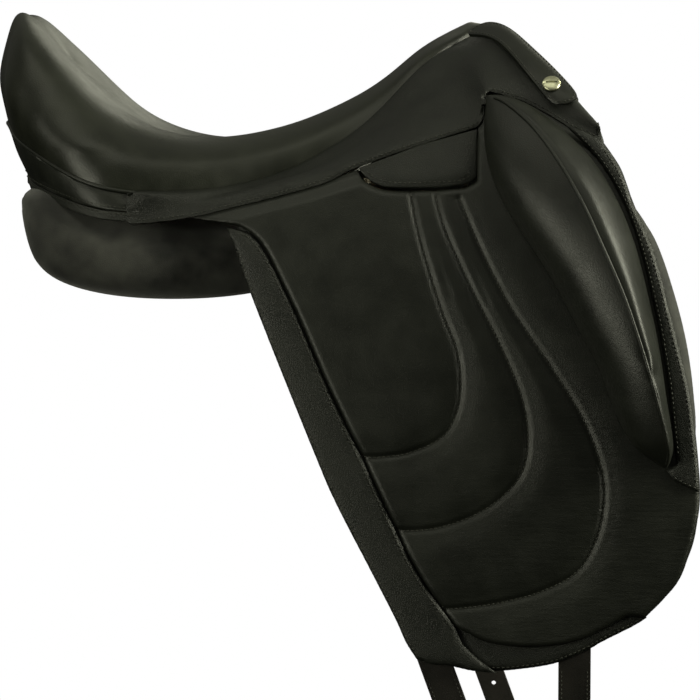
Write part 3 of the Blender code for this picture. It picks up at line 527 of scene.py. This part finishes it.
def sheet_grid(rim, cell):
    """A flat sheet with an outline, cut into cells."""
    bm = bmesh.new()
    bm.faces.new([bm.verts.new((p[0], 0, p[1])) for p in rim])
    for axis in (0, 2):
        low = min(v.co[axis] for v in bm.verts)
        high = max(v.co[axis] for v in bm.verts)
        normal = Vector((0, 0, 0))
        normal[axis] = 1
        for k in range(1, int((high - low) / cell) + 1):
            bmesh.ops.bisect_plane(
                bm, geom=bm.verts[:] + bm.edges[:] + bm.faces[:], dist=0.02 * MM,
                plane_co=normal * (low + k * cell), plane_no=normal,
            )
    return bm


def laid(rim, inner, relief, cell):
    """A plate on the right side: relief(x, z, distance from the edge) gives how far out its face is."""
    bm = sheet_grid(rim, cell)
    bmesh.ops.recalc_face_normals(bm, faces=bm.faces)
    made = bmesh.ops.extrude_face_region(bm, geom=bm.faces[:])
    raised = {item for item in made["geom"] if isinstance(item, bmesh.types.BMVert)}
    edge = Nearest(list(rim) + [rim[0]])
    for v in bm.verts:
        x, z = v.co.x, v.co.z
        out = relief(x, z, edge(x, z)) if v in raised else inner
        v.co.y = -half_width(z) - out
    bmesh.ops.recalc_face_normals(bm, faces=bm.faces)
    return bm


def skin(node, towards, sharp=48):
    """A shell's outer face: from the face that looks most that way, out to its sharp edges."""
    bm = copy_of(node)
    direction = Vector(towards).normalized()
    seed = max(bm.faces, key=lambda f: f.normal.dot(direction) * f.calc_area() ** 0.25)
    limit = math.cos(math.radians(sharp))
    kept, front = {seed}, [seed]
    while front:
        face = front.pop()
        for edge in face.edges:
            for other in edge.link_faces:
                if other not in kept and other.normal.dot(face.normal) > limit:
                    kept.add(other)
                    front.append(other)
    bmesh.ops.delete(bm, geom=[f for f in bm.faces if f not in kept], context="FACES")
    bmesh.ops.join_triangles(
        bm, faces=bm.faces[:], angle_face_threshold=0.9, angle_shape_threshold=1.2,
    )
    return bm


def shell(bm, thickness, roll=0.8 * MM):
    """A skin given its thickness inwards, with its open edges rounded."""
    inwards = {"thickness": thickness, "offset": -1, "use_even_offset": False}
    rounding = {"width": roll, "segments": 3, "limit_method": "ANGLE", "angle_limit": math.radians(50)}
    return through_modifiers(bm, ("SOLIDIFY", inwards), ("BEVEL", rounding))


def cut(bm, holes):
    """A mesh with the shapes of another taken out of it."""
    mesh = bpy.data.meshes.new("holes")
    holes.to_mesh(mesh)
    holes.free()
    tool = bpy.data.objects.new("holes", mesh)
    bpy.context.scene.collection.objects.link(tool)
    taken = {"object": tool, "operation": "DIFFERENCE", "solver": "EXACT"}
    bm = through_modifiers(bm, ("BOOLEAN", taken))
    bpy.data.objects.remove(tool)
    bpy.data.meshes.remove(mesh)
    return bm


def tube(points, radius, closed=False, sides=2):
    """A round cord along a line of points."""
    data = bpy.data.curves.new("cord", "CURVE")
    data.dimensions = "3D"
    line = data.splines.new("POLY")
    line.points.add(len(points) - 1)
    for place, p in zip(line.points, points):
        place.co = (*p, 1)
    line.use_cyclic_u = closed
    data.bevel_depth = radius
    data.bevel_resolution = sides
    data.use_fill_caps = not closed
    thing = bpy.data.objects.new("cord", data)
    bpy.context.scene.collection.objects.link(thing)
    bpy.context.view_layer.update()
    mesh = bpy.data.meshes.new_from_object(thing.evaluated_get(bpy.context.evaluated_depsgraph_get()))
    bpy.data.objects.remove(thing)
    bm = bmesh.new()
    bm.from_mesh(mesh)
    bpy.data.meshes.remove(mesh)
    bmesh.ops.recalc_face_normals(bm, faces=bm.faces)
    return bm


# ---------------------------------------------------------------- stitching


class Surface:
    """A finished skin that lines can be drawn on."""

    def __init__(self, bm):
        self.tree = BVHTree.FromBMesh(bm)
        edges = [e for e in bm.edges if len(e.link_faces) == 1]
        self.ring = [v.co.copy() for v in boundary(edges)] if edges else []

    def drop(self, p):
        found, normal, _, _ = self.tree.find_nearest(p)
        return found, normal

    def edge(self, start, end, inset, step=2 * MM, long_way=False):
        """The skin's edge between two places, moved inwards along the surface."""
        ring = self.ring
        count = len(ring)
        a = min(range(count), key=lambda i: (ring[i] - Vector(start)).length)
        b = min(range(count), key=lambda i: (ring[i] - Vector(end)).length)
        forward = [ring[(a + i) % count] for i in range((b - a) % count + 1)]
        backward = [ring[(a - i) % count] for i in range((a - b) % count + 1)]
        runs = sorted((forward, backward), key=run_length)
        line = even(runs[1] if long_way else runs[0], step)
        if not inset:
            return line
        middle = sum(ring, Vector()) / count
        moved = []
        for i, p in enumerate(line):
            along = (line[min(i + 1, len(line) - 1)] - line[max(i - 1, 0)]).normalized()
            normal = self.drop(p)[1]
            across = normal.cross(along).normalized()
            spots = [self.drop(p + across * inset * sign)[0] for sign in (1, -1)]
            gains = [(spot - p).length for spot in spots]
            inward = spots[0] if gains[0] > gains[1] else spots[1]
            if abs(gains[0] - gains[1]) < inset * 0.2:
                inward = min(spots, key=lambda spot: (spot - middle).length)
            moved.append(inward)
        return even(moved, step)


def stitches(surface, lines, length=2.6 * MM, gap=1.2 * MM, width=0.9 * MM, lift=0.16 * MM):
    """Rows of stitches lying on a surface."""
    everything = bmesh.new()
    for line in lines:
        row = bmesh.new()
        points = even(line, length + gap)
        for a, b in zip(points, points[1:]):
            along = b - a
            if along.length < 1e-6:
                continue
            middle, normal = surface.drop((a + b) / 2)
            along.normalize()
            across = normal.cross(along).normalized()
            up = along.cross(across)
            turn = Matrix((along, across, up)).transposed().to_4x4()
            size = Matrix.Diagonal((length / 2, width / 2, width / 2, 1))
            place = Matrix.Translation(middle + up * lift) @ turn @ size
            bmesh.ops.create_uvsphere(row, u_segments=6, v_segments=4, radius=1, matrix=place)
        mesh = bpy.data.meshes.new("row")
        row.to_mesh(mesh)
        row.free()
        everything.from_mesh(mesh)
        bpy.data.meshes.remove(mesh)
    return everything


def pair_of_rows(name, surface, rows, body, slot, **sizes):
    bm = stitches(surface, rows, **sizes)
    return pair(name, bm, THREAD, body)


# ---------------------------------------------------------------- the seat and its facings


def drawn_to(bm, seam, reach=16 * MM, fade=26 * MM, under=2.4 * MM):
    """Draws a skin's edge up to a seam that runs close by, so that nothing shows between them."""
    line = KDTree(len(seam))
    for i, p in enumerate(seam):
        line.insert(p, i)
    line.balance()
    edge = {v for e in bm.edges if len(e.link_faces) == 1 for v in e.verts}
    moves = []
    for v in edge:
        spot, _, distance = line.find(v.co)
        share = clamped((reach - distance) / (4 * MM))
        moves.append((v.co.copy(), (spot - Vector((0, 0, under)) - v.co) * share))
    near = KDTree(len(moves))
    for i, (place, _) in enumerate(moves):
        near.insert(place, i)
    near.balance()
    for v in bm.verts:
        _, i, distance = near.find(v.co)
        share = max(1 - distance / fade, 0)
        v.co += moves[i][1] * share * share * (3 - 2 * share)
    return bm


def stretched(bm, start, end, by):
    """Lengthens a skin's end: from nothing at one x to its full amount at the other."""
    for v in bm.verts:
        share = clamped((v.co.x - start) / (end - start))
        v.co.x += by * share
    return bm


def make_seat():
    """The deep padded seat, with its piping all round the seam."""
    bm = subdivided(skin("seat_cover", (0, 0, 1), 40), 3)
    seam = Surface(bm).ring
    nodes = ["seat_cover", "seat_foam"]
    cover = piece("seat", shell(bm, 2.4 * MM), SEAT, "saddle", nodes)
    line = even(seam + seam[:1], 4 * MM)[:-1]
    under = [p + Vector((0, 0, -1.6 * MM)) for p in line]
    cord = tube(under, 1.7 * MM, closed=True)
    piece("seat_piping", cord, SMOOTH, "saddle", ["seat_welt"])
    return seam


def make_band(name, node, material, inset, seam):
    """A stitched band round the back of the cantle."""
    bm = subdivided(skin(node, (-1, -0.6, 0)), 2)
    stretched(bm, -75 * MM, -60 * MM, 12 * MM)
    if seam:
        drawn_to(bm, seam)
    surface = Surface(bm)
    back = Vector((-0.166, 0, 0.018))
    rows = [surface.edge(back, Vector((-0.053, side * 0.152, -0.01)), inset) for side in (-1, 1)]
    piece(name, shell(bm, 2.4 * MM), material, "saddle", [node])
    piece(name + "_stitching", stitches(surface, rows), THREAD, "saddle")


def make_pommel():
    """The rolled front of the head, closed with grained leather."""
    bm = shell(subdivided(skin("pommel_facing", (1, 0, 0.2)), 2), 2.4 * MM)
    piece("pommel_roll", bm, GRAINED, "saddle", ["pommel_facing"])


def make_skirt(seam):
    """The grained skirt, sewn along its lower edge and round the top of the block."""
    bm = subdivided(skin("skirt_right", (0, -1, 0.5), 62), 2)
    rear = on_side(-0.047, -0.012, SKIRT_OUT)
    corner = on_side(0.2185, 0.063, SKIRT_OUT)
    top_corner = on_side(0.223, 0.0875, SKIRT_OUT)
    front = on_side(0.315, 0.052, SKIRT_OUT)
    surface = Surface(bm)
    lower = surface.edge(rear, corner, 0) + surface.edge(top_corner, front, 0)
    edge = KDTree(len(lower))
    for i, p in enumerate(lower):
        edge.insert(p, i)
    edge.balance()
    for v in bm.verts:
        place, _, distance = edge.find(v.co)
        past_cover = max(118 * MM - place.x, place.x - 222 * MM)
        share = max(1 - distance / (12 * MM), 0) * clamped(past_cover / (18 * MM))
        v.co += Vector((0, -1.2, -4.0)) * MM * share
    stretched(bm, -20 * MM, -47 * MM, -9 * MM)
    drawn_to(bm, seam)
    for v in bm.verts:
        v.co.y -= 1.4 * MM * clamped((-25 * MM - v.co.x) / (20 * MM))
        ahead = max((v.co.x - 285 * MM) / (30 * MM), 0)
        v.co.x -= 4.5 * MM * ahead * clamped((v.co.z - 50 * MM) / (12 * MM))
        beside_block = max(1 - abs(v.co.x - 221 * MM) / (9 * MM), 0) * (54 * MM < v.co.z < 90 * MM)
        v.co.x += 2.2 * MM * beside_block
    inside = [v for v in bm.verts if not v.is_boundary]
    for _ in range(4):
        bmesh.ops.smooth_vert(
            bm, verts=inside, factor=0.5, use_axis_x=True, use_axis_y=True, use_axis_z=True,
        )
    surface = Surface(bm)
    rows = [
        surface.edge(rear, corner, 2.6 * MM),
        surface.edge(corner, top_corner, 2.6 * MM)[2:-3],
        surface.edge(top_corner, front, 2.6 * MM)[2:-2],
    ]
    pair("skirt_leather", shell(bm, 3.0 * MM), GRAINED, "saddle", ["skirt"])
    pair_of_rows("skirt_stitching", surface, rows, "saddle", "grained_leather")


def make_pommel_tab():
    """The smooth tongue over the point of the skirt."""
    bm = subdivided(skin("pommel_tab_right", (0, -1, 0.4)), 3)
    surface = Surface(bm)
    ring = surface.ring
    first, last = ring[0], ring[len(ring) // 2]
    rows = [surface.edge(first, last, 1.9 * MM), surface.edge(first, last, 1.9 * MM, long_way=True)]
    pair("tab_leather", shell(bm, 2.8 * MM), SMOOTH, "saddle", ["pommel_tab"])
    pair_of_rows("tab_stitching", surface, rows, "saddle", "smooth_leather")


NAIL_RADIUS = 7.3 * MM
NAIL_HEIGHT = 2.9 * MM
NAIL_SLOT = 1.7 * MM
NAIL_SLOT_DEPTH = 1.3 * MM


def make_nail():
    """The domed nail with its driving slot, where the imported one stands."""
    packed = copy_of("tab_screw_right")
    areas = {}
    for face in packed.faces:
        key = tuple(round(c, 2) for c in face.normal)
        areas.setdefault(key, []).append(face)
    foot = max(areas.values(), key=lambda faces: sum(f.calc_area() for f in faces))
    axis = -foot[0].normal.normalized()
    corners = {v for f in foot for v in f.verts}
    middle = sum((v.co for v in corners), Vector()) / len(corners)
    packed.free()

    bm = bmesh.new()
    sides, steps = 64, 30
    rings = []
    for k in range(steps + 1):
        r = NAIL_RADIUS * k / steps
        rise = NAIL_HEIGHT * (0.3 + 0.7 * math.sqrt(max(1 - (r / NAIL_RADIUS) ** 2, 0)))
        ring = []
        for i in range(sides if k else 1):
            angle = 2 * math.pi * i / sides
            x, z = r * math.cos(angle), r * math.sin(angle)
            sunk = NAIL_SLOT_DEPTH * clamped((NAIL_SLOT / 2 - abs(z)) / (0.25 * MM))
            ring.append(bm.verts.new((x, -rise + sunk, z)))
        rings.append(ring)
    rings.append([bm.verts.new((v.co.x, 0, v.co.z)) for v in rings[-1]])
    for inner, outer in zip(rings, rings[1:]):
        for i in range(sides):
            j = (i + 1) % sides
            if len(inner) == 1:
                bm.faces.new((inner[0], outer[i], outer[j]))
            else:
                bm.faces.new((inner[i], outer[i], outer[j], inner[j]))
    bm.faces.new(rings[-1])
    bmesh.ops.recalc_face_normals(bm, faces=bm.faces)
    turn = Vector((0, -1, 0)).rotation_difference(axis).to_matrix().to_4x4()
    bmesh.ops.transform(bm, matrix=Matrix.Translation(middle) @ turn, verts=bm.verts)
    pair("nail", bm, NICKEL, "saddle", ["tab_screw"])


# Places on the side in millimetres: forward and up
COVER_TOP = ((126.5, 28), (154, 37.5), (197, 51.5), (215.5, 57))
COVER_SEAM = (
    (131, 25.5), (136, 21.2), (144, 18), (158, 16.2), (180, 17), (203.5, 18.2), (212.5, 22.5),
)


def make_bar_cover():
    """The small padded flap over the stirrup bar, with a rolled lower edge."""
    rim = rim_of("bar_cover_right", 1.5 * MM)
    centre = sum(rim, Vector((0, 0))) / len(rim)
    for p in rim:
        upper = clamped(0.5 + (p.y - centre.y + (p.x - centre.x) * 0.2) / (20 * MM))
        p += (p - centre).normalized() * (1.5 + 0.6 * upper) * MM
    top = Nearest([Vector(p) * MM for p in COVER_TOP])

    def relief(x, z, edge):
        swell = 1 - math.exp(-(edge / (7 * MM)) ** 2)
        below = min(top(x, z) / (30 * MM), 1)
        roll = rolled(edge, 1.8 * MM) * min(below * 3, 1)
        return SKIRT_OUT + 0.1 * MM + swell * (0.2 + 3.0 * below) * MM - roll

    bm = laid(rim, PAD_IN, relief, 1.6 * MM)
    surface = Surface(bm)
    lower = curve([on_side(x * MM, z * MM, SKIRT_OUT) for x, z in COVER_SEAM], 2 * MM)
    pair("cover_leather", bm, GRAINED, "right_bar_cover", ["bar_cover"])
    pair_of_rows("cover_stitching", surface, [lower], "right_bar_cover", "smooth_leather")


# ---------------------------------------------------------------- the flap


# Lines on the side in millimetres: forward and up
SKIRT_EDGE_REAR = (
    (-48, -13), (-8, -7), (27, 1), (78, 14), (117, 26), (155, 40), (198, 54), (218.5, 63),
)
SKIRT_EDGE_FRONT = ((221, 86), (241, 87.5), (263, 79), (288, 64.5), (315, 52))
QUILTING = (
    (
        (166, 8), (174, -27), (191, -80), (203, -110), (207, -137), (204, -160), (193, -179),
        (169, -191), (146, -195), (128, -195),
    ),
    (
        (185, 8), (193, -19), (214, -64), (238, -110), (254, -148), (259, -178), (255, -205),
        (239, -225), (216, -240), (186, -250), (154, -252),
    ),
    (
        (204, 4), (221, -34), (245, -79), (276, -124), (300, -162), (314, -196), (318, -223),
        (313, -254), (298, -281), (271, -297), (240, -306), (209, -311), (192, -312),
    ),
)
CREASES = (
    ((176, 8), (181, -16), (190, -44), (199, -70)),
    ((197, 6), (205, -20), (216, -48), (228, -76)),
)


def flat_line(points, step=1.5 * MM):
    return curve([Vector((x * MM, z * MM)) for x, z in points], step)


def make_flap():
    """The large quilted pad of the single flap."""
    seams = [flat_line(points) for points in QUILTING]
    near_seam = [Nearest(line) for line in seams]
    near_crease = [Nearest(flat_line(points)) for points in CREASES]

    skirt = Nearest(flat_line(SKIRT_EDGE_REAR, 3 * MM) + flat_line(SKIRT_EDGE_FRONT, 3 * MM))

    def relief(x, z, edge):
        out = PAD_OUT - 2.4 * MM - rolled(edge, 4.2 * MM)
        distance = min(near(x, z) for near in near_seam)
        out += 2.1 * MM * (1 - math.exp(-(distance / (12 * MM)) ** 2))
        out -= 2.1 * MM * math.exp(-(distance / (2.0 * MM)) ** 2)
        if edge < 14 * MM:
            share = clamped((14 * MM - skirt(x, z)) / (8 * MM))
            out -= max(out - 15.3 * MM, 0) * share
        for near in near_crease:
            out -= 0.5 * MM * math.exp(-(near(x, z) / (3.2 * MM)) ** 2)
        return out

    bm = laid(rim_of("flap_right"), PAD_IN, relief, 1.7 * MM)
    surface = Surface(bm)
    rows = [[on_side(p.x, p.y, PAD_OUT - 4 * MM) for p in line] for line in seams]
    pair("flap_pad", bm, PAD, "right_flap", ["flap"])
    pair_of_rows("flap_quilting", surface, rows, "right_flap", "smooth_leather", gap=1.0 * MM)


def plate(name, node, inner, outer, material, slot, cell=5 * MM, roll=1.2 * MM, crown=0.0, rows=()):
    """A leather plate of the flap, with rows of stitches that follow its edge."""
    rim = rim_of(node + "_right")

    def relief(x, z, edge):
        return outer - rolled(edge, roll) + crown * (1 - math.exp(-(edge / (5 * MM)) ** 2))

    bm = laid(rim, inner, relief, cell)
    surface = Surface(bm)
    lines = []
    for points, inset in rows:
        lines.append([on_side(p.x, p.y, outer) for p in inset_line(rim, *points, inset)])
    pair(name, bm, material, "right_flap", [node])
    if lines:
        pair_of_rows(name + "_stitching", surface, lines, "right_flap", slot)


def inset_line(rim, start, end, inset):
    """The stretch of an outline between two places, moved inwards."""
    count = len(rim)
    a = min(range(count), key=lambda i: (rim[i] - Vector(start) * MM).length)
    b = min(range(count), key=lambda i: (rim[i] - Vector(end) * MM).length)
    forward = [rim[(a + i) % count] for i in range((b - a) % count + 1)]
    backward = [rim[(a - i) % count] for i in range((a - b) % count + 1)]
    shorter = min((forward, backward), key=run_length)
    line = even([p.copy() for p in shorter], 3 * MM)
    area = sum(p.x * q.y - q.x * p.y for p, q in zip(rim, rim[1:] + rim[:1]))
    sense = 1 if (area > 0) == (shorter is forward) else -1
    moved = []
    for i, p in enumerate(line):
        along = (line[min(i + 1, len(line) - 1)] - line[max(i - 1, 0)]).normalized()
        moved.append(p + Vector((-along.y, along.x)) * inset * sense)
    return moved


def make_flap_plates():
    plate(
        "strip_leather", "rear_strip", PAD_IN, SKIRT_OUT + 0.4 * MM, GRAINED, "grained_leather",
        cell=4 * MM, crown=0.8 * MM,
        rows=[(((34, -24), (205, -327)), 2.2 * MM), (((30, -36), (174, -349)), 2.2 * MM)],
    )
    plate("base_leather", "flap_base", BASE_IN, BASE_OUT, GRAINED, "grained_leather", cell=9 * MM)
    plate(
        "guard_leather", "billet_guard", BASE_IN, BASE_OUT, GRAINED, "grained_leather",
        rows=[(((182, -350), (348, -318)), 2.4 * MM)],
    )
    plate("lining_leather", "flap_lining", 0.0, LINING_OUT, PANEL, "panel_leather", cell=9 * MM)
    plate(
        "trim_leather", "front_trim", TRIM_IN, TRIM_OUT, GRAINED, "grained_leather",
        cell=2.5 * MM, roll=2.8 * MM,
        rows=[
            (((318, 44), (389, -212)), 2.4 * MM),
            (((292, 55), (371, -190)), 2.2 * MM),
            (((388, -219), (366, -203)), 2.2 * MM),
        ],
    )


def creased(bm, start=30, full=80):
    """Marks a mesh's sharp edges, so that smoothing keeps them."""
    layer = bm.edges.layers.float.get("crease_edge") or bm.edges.layers.float.new("crease_edge")
    for edge in bm.edges:
        if len(edge.link_faces) == 2:
            angle = math.degrees(edge.calc_face_angle(0))
            edge[layer] = clamped((angle - start) / (full - start))
    return bm


# The piping of the block in millimetres: forward, up and out from the block's foot
BLOCK_RIDGE = (
    (226, 84.5, 4), (240, 78, 13), (261, 60, 25), (281, 34, 34), (300, 2, 40), (316, -32, 43),
    (331, -66, 43), (342, -97, 42), (352, -129, 39), (360, -158, 33), (366, -184, 23),
    (364.5, -199.5, 7),
)


def make_knee_block():
    """The long padded block, with piping along its ridge."""
    bm = copy_of("knee_block_right")
    bmesh.ops.join_triangles(bm, faces=bm.faces[:], angle_face_threshold=0.7, angle_shape_threshold=1.2)
    creased(bm, 50, 100)
    floor = PAD_OUT + 0.5 * MM
    bm = swollen(subdivided(bm, 2), 1.5 * MM, lambda p: -p.y < half_width(p.z) + floor + 2 * MM)
    bm = smoothed(bm, 1)
    surface = Surface(bm)
    ridge = curve([on_side(x * MM, z * MM, floor + h * MM) for x, z, h in BLOCK_RIDGE], 3 * MM)[2:-2]
    pair("block_leather", bm, SMOOTH, "right_flap", ["knee_block"])
    cord = []
    for p in ridge:
        spot, normal = surface.drop(p)
        cord.append(spot + normal * 0.6 * MM)
    pair("block_cord", tube(cord, 1.3 * MM), SMOOTH, "right_flap", ["block_piping"])


# ---------------------------------------------------------------- billets


# Each strap's name, its upper end and where it leaves the flap, in millimetres
BILLETS = (("front_billet", (296, -150), (296, -355)), ("rear_billet", (80, -60), (190, -360)))
HOLES, HOLE_PITCH, LAST_HOLE = 7, 25 * MM, 30 * MM
HOLE_RADIUS = 2 * MM
TIP = 14 * MM


def make_billets():
    """The four girth straps, sewn under the flap."""
    for name, head, foot in BILLETS:
        head = Vector((head[0], 0, head[1])) * MM
        foot = Vector((foot[0], 0, foot[1])) * MM
        along = (foot - head).normalized()
        across = Vector((-along.z, 0, along.x))
        length = (foot - head).length + TAIL_LENGTH
        bm = bmesh.new()
        turn = Matrix((across, along, along.cross(across) * -1)).transposed().to_4x4()
        bmesh.ops.create_grid(
            bm, x_segments=8, y_segments=int(length / (6 * MM)), size=1,
            matrix=Matrix.Translation(head + along * length / 2) @ turn
            @ Matrix.Diagonal((BILLET_WIDTH / 2, length / 2, 1, 1)),
        )
        for v in bm.verts:
            side = (v.co - head).dot(across)
            left = length - (v.co - head).dot(along)
            if left < TIP:
                v.co -= across * side * (1 - math.sqrt(max(left, 0) / TIP)) * 0.75
            v.co.y = -half_width(max(v.co.z, foot.z)) - STRAP_MIDDLE
        bmesh.ops.recalc_face_normals(bm, faces=bm.faces)
        if sum(f.normal.y for f in bm.faces) > 0:
            bmesh.ops.reverse_faces(bm, faces=bm.faces)
        bmesh.ops.translate(bm, vec=(0, -STRAP / 2, 0), verts=bm.verts)
        bm = shell(bm, STRAP, 0.6 * MM)
        surface = Surface(bm)
        pivot = Vector((foot.x, -half_width(foot.z) - STRAP_MIDDLE, foot.z))
        holes = bmesh.new()
        for k in range(HOLES):
            at = pivot + along * (TAIL_LENGTH - LAST_HOLE - k * HOLE_PITCH)
            bmesh.ops.create_cone(
                holes, cap_ends=True, segments=16, depth=12 * MM,
                radius1=HOLE_RADIUS, radius2=HOLE_RADIUS,
                matrix=Matrix.Translation(at) @ Matrix.Rotation(math.pi / 2, 4, "X"),
            )
        bm = cut(bm, holes)
        rows = []
        for sign in (1, -1):
            offset = across * sign * (BILLET_WIDTH / 2 - 2.6 * MM)
            start = foot + along * 4 * MM + offset
            end = foot + along * (TAIL_LENGTH - 16 * MM) + offset
            start.y = end.y = pivot.y - STRAP / 2
            rows.append([start.lerp(end, k / 40) for k in range(41)])
        seams = stitches(surface, rows, length=2.2 * MM)
        strap = piece(name + "_strap_right", bm, STRAP_HIDE, None)
        sewing = piece(name + "_strap_stitching_right", seams, THREAD, None)
        for right in (strap, sewing):
            left = other_side(right, None)
            for thing, side, sign in ((right, "right", 1), (left, "left", -1)):
                place = Vector((pivot.x, sign * pivot.y, pivot.z))
                side + "_flap"
                side + "_" + name
                place - along * 4 * MM
                place + along * 12 * MM
                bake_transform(thing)
                if right is strap:
                    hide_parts(name + "_" + side, name + "_tail_" + side)


# ---------------------------------------------------------------- panels


def make_panels():
    """The stuffed cushions beside the gullet, and the padded front of each panel."""
    bm = copy_of("panel_right")
    bmesh.ops.join_triangles(bm, faces=bm.faces[:], angle_face_threshold=0.7, angle_shape_threshold=1.2)
    bm = swollen(subdivided(bm, 2), 2.5 * MM, lambda p: p.z > 5 * MM)
    bm = smoothed(bm, 1)
    for v in bm.verts:
        rear = clamped((-80 * MM - v.co.x) / (50 * MM))
        upper = clamped((v.co.z + 45 * MM) / (40 * MM))
        v.co.z += 7 * MM * rear * upper
    pair("panel_cushion", bm, PANEL, "saddle", ["panel"])

    rim = rim_of("panel_front_right")

    def relief(x, z, edge):
        return -9 * MM - rolled(edge, 9 * MM)

    bm = laid(rim, -31 * MM, relief, 6 * MM)
    pair("panel_front_pad", bm, PANEL, "saddle", ["panel_front"])


# ---------------------------------------------------------------- everything that stays as packed


def finish_packed():
    """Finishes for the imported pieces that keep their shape."""
    kept = {
        "tree": WOOD, "head_plate": STEEL, "seat_webbing": WEB,
        "girth_web_right": WEB, "girth_web_left": WEB, "gullet_lining": PANEL,
    }
    for side in ("right", "left"):
        for name in ("stirrup_bar_", "bar_rivet_front_", "bar_rivet_rear_", "catch_pin_", "bar_catch_"):
            kept[name + side] = STEEL
    for name, material in kept.items():
        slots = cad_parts[name].material_slots
        for k in range(len(slots)):
            slots[k].link = "OBJECT"
            slots[k].material = material


# ---------------------------------------------------------------- studio


CAMERA_TARGET = Vector((0.1055, 0, -0.1265))
CAMERA_DISTANCE = 2.3
CAMERA_AZIMUTH, CAMERA_ELEVATION = math.radians(5.0), math.radians(4.5)
VIEW_WIDTH = 0.588
SENSOR_WIDTH = 36
FLOOR_HEIGHT = -0.70


def glow(name, colour, strength):
    material = bpy.data.materials.new(name)
    material.use_nodes = True
    nodes, links = material.node_tree.nodes, material.node_tree.links
    nodes.clear()
    out = nodes.new("ShaderNodeOutputMaterial")
    lit = nodes.new("ShaderNodeEmission")
    lit.inputs[0].default_value = (*colour, 1)
    lit.inputs[1].default_value = strength
    links.new(lit.outputs[0], out.inputs[0])
    return material


def softbox(name, place, target, width, height, power, colour=(1, 1, 1)):
    data = bpy.data.lights.new(name, "AREA")
    data.shape = "RECTANGLE"
    data.size, data.size_y = width, height
    data.energy = power
    data.color = colour
    lamp = bpy.data.objects.new(name, data)
    lamp.location = place
    lamp.rotation_euler = (Vector(target) - Vector(place)).to_track_quat("-Z", "Y").to_euler()
    bpy.context.scene.collection.objects.link(lamp)


def make_studio():
    scene = bpy.context.scene
    a, e = CAMERA_AZIMUTH, CAMERA_ELEVATION
    back = Vector((math.sin(a) * math.cos(e), -math.cos(a) * math.cos(e), math.sin(e)))
    data = bpy.data.cameras.new("camera")
    data.sensor_width = SENSOR_WIDTH
    data.lens = SENSOR_WIDTH * CAMERA_DISTANCE / VIEW_WIDTH
    data.clip_end = 50
    camera = bpy.data.objects.new("camera", data)
    camera.location = CAMERA_TARGET + back * CAMERA_DISTANCE
    camera.rotation_euler = (-back).to_track_quat("-Z", "Y").to_euler()
    scene.collection.objects.link(camera)
    scene.camera = camera

    bm = bmesh.new()
    bmesh.ops.create_circle(bm, cap_ends=True, segments=96, radius=9)
    bmesh.ops.translate(bm, vec=(0, 0, FLOOR_HEIGHT), verts=bm.verts)
    mesh = bpy.data.meshes.new("floor")
    bm.to_mesh(mesh)
    bm.free()
    mesh.materials.append(glow("pale_floor", (1, 1, 1), 1.0))
    floor = bpy.data.objects.new("floor", mesh)
    scene.collection.objects.link(floor)
    floor.visible_glossy = False
    floor.visible_diffuse = False

    world = bpy.data.worlds.new("studio")
    world.use_nodes = True
    nodes, links = world.node_tree.nodes, world.node_tree.links
    nodes.clear()
    out = nodes.new("ShaderNodeOutputWorld")
    seen = nodes.new("ShaderNodeBackground")
    seen.inputs[1].default_value = 1.0
    seen.inputs[0].default_value = (1, 1, 1, 1)
    lit = nodes.new("ShaderNodeBackground")
    lit.inputs[1].default_value = 0.3
    mix = nodes.new("ShaderNodeMixShader")
    ray = nodes.new("ShaderNodeLightPath")
    place = nodes.new("ShaderNodeTexCoord")
    split = nodes.new("ShaderNodeSeparateXYZ")
    ramp = nodes.new("ShaderNodeValToRGB")
    ramp.color_ramp.elements[0].position = 0.45
    ramp.color_ramp.elements[0].color = (0.03, 0.03, 0.028, 1)
    ramp.color_ramp.elements[1].position = 1.0
    ramp.color_ramp.elements[1].color = (1, 1, 0.84, 1)
    half = nodes.new("ShaderNodeMath")
    half.operation = "MULTIPLY_ADD"
    half.inputs[1].default_value = 0.5
    half.inputs[2].default_value = 0.5
    links.new(place.outputs["Generated"], split.inputs[0])
    links.new(split.outputs[2], half.inputs[0])
    links.new(half.outputs[0], ramp.inputs[0])
    links.new(ramp.outputs[0], lit.inputs[0])
    links.new(ray.outputs["Is Camera Ray"], mix.inputs[0])
    links.new(lit.outputs[0], mix.inputs[1])
    links.new(seen.outputs[0], mix.inputs[2])
    links.new(mix.outputs[0], out.inputs[0])
    scene.world = world
    scene.view_settings.view_transform = "Standard"
    scene.view_settings.look = "None"

    warm = (1, 1, 0.80)
    softbox("top_softbox", (-0.2, -0.9, 1.7), (0.05, 0, 0), 1.8, 1.0, 7, warm)
    softbox("front_softbox", (2.1, -0.45, 0.75), (0.2, -0.05, -0.05), 0.9, 1.8, 82, warm)
    softbox("far_softbox", (0.6, 2.4, 0.9), (0.05, 0, -0.1), 1.4, 1.4, 8, warm)
    softbox("rear_softbox", (-1.5, -1.7, -0.1), (0.05, -0.1, -0.15), 1.0, 1.4, 25, warm)


seat_seam = make_seat()
make_band("cantle_band", "cantle_facing", SMOOTH, 3 * MM, seat_seam)
make_band("panel_band", "panel_facing", GRAINED, 1.8 * MM, [])
make_pommel()
make_skirt(seat_seam)
make_pommel_tab()
make_nail()
make_bar_cover()
make_flap()
make_flap_plates()
make_knee_block()
make_billets()
make_panels()
finish_packed()
make_studio()
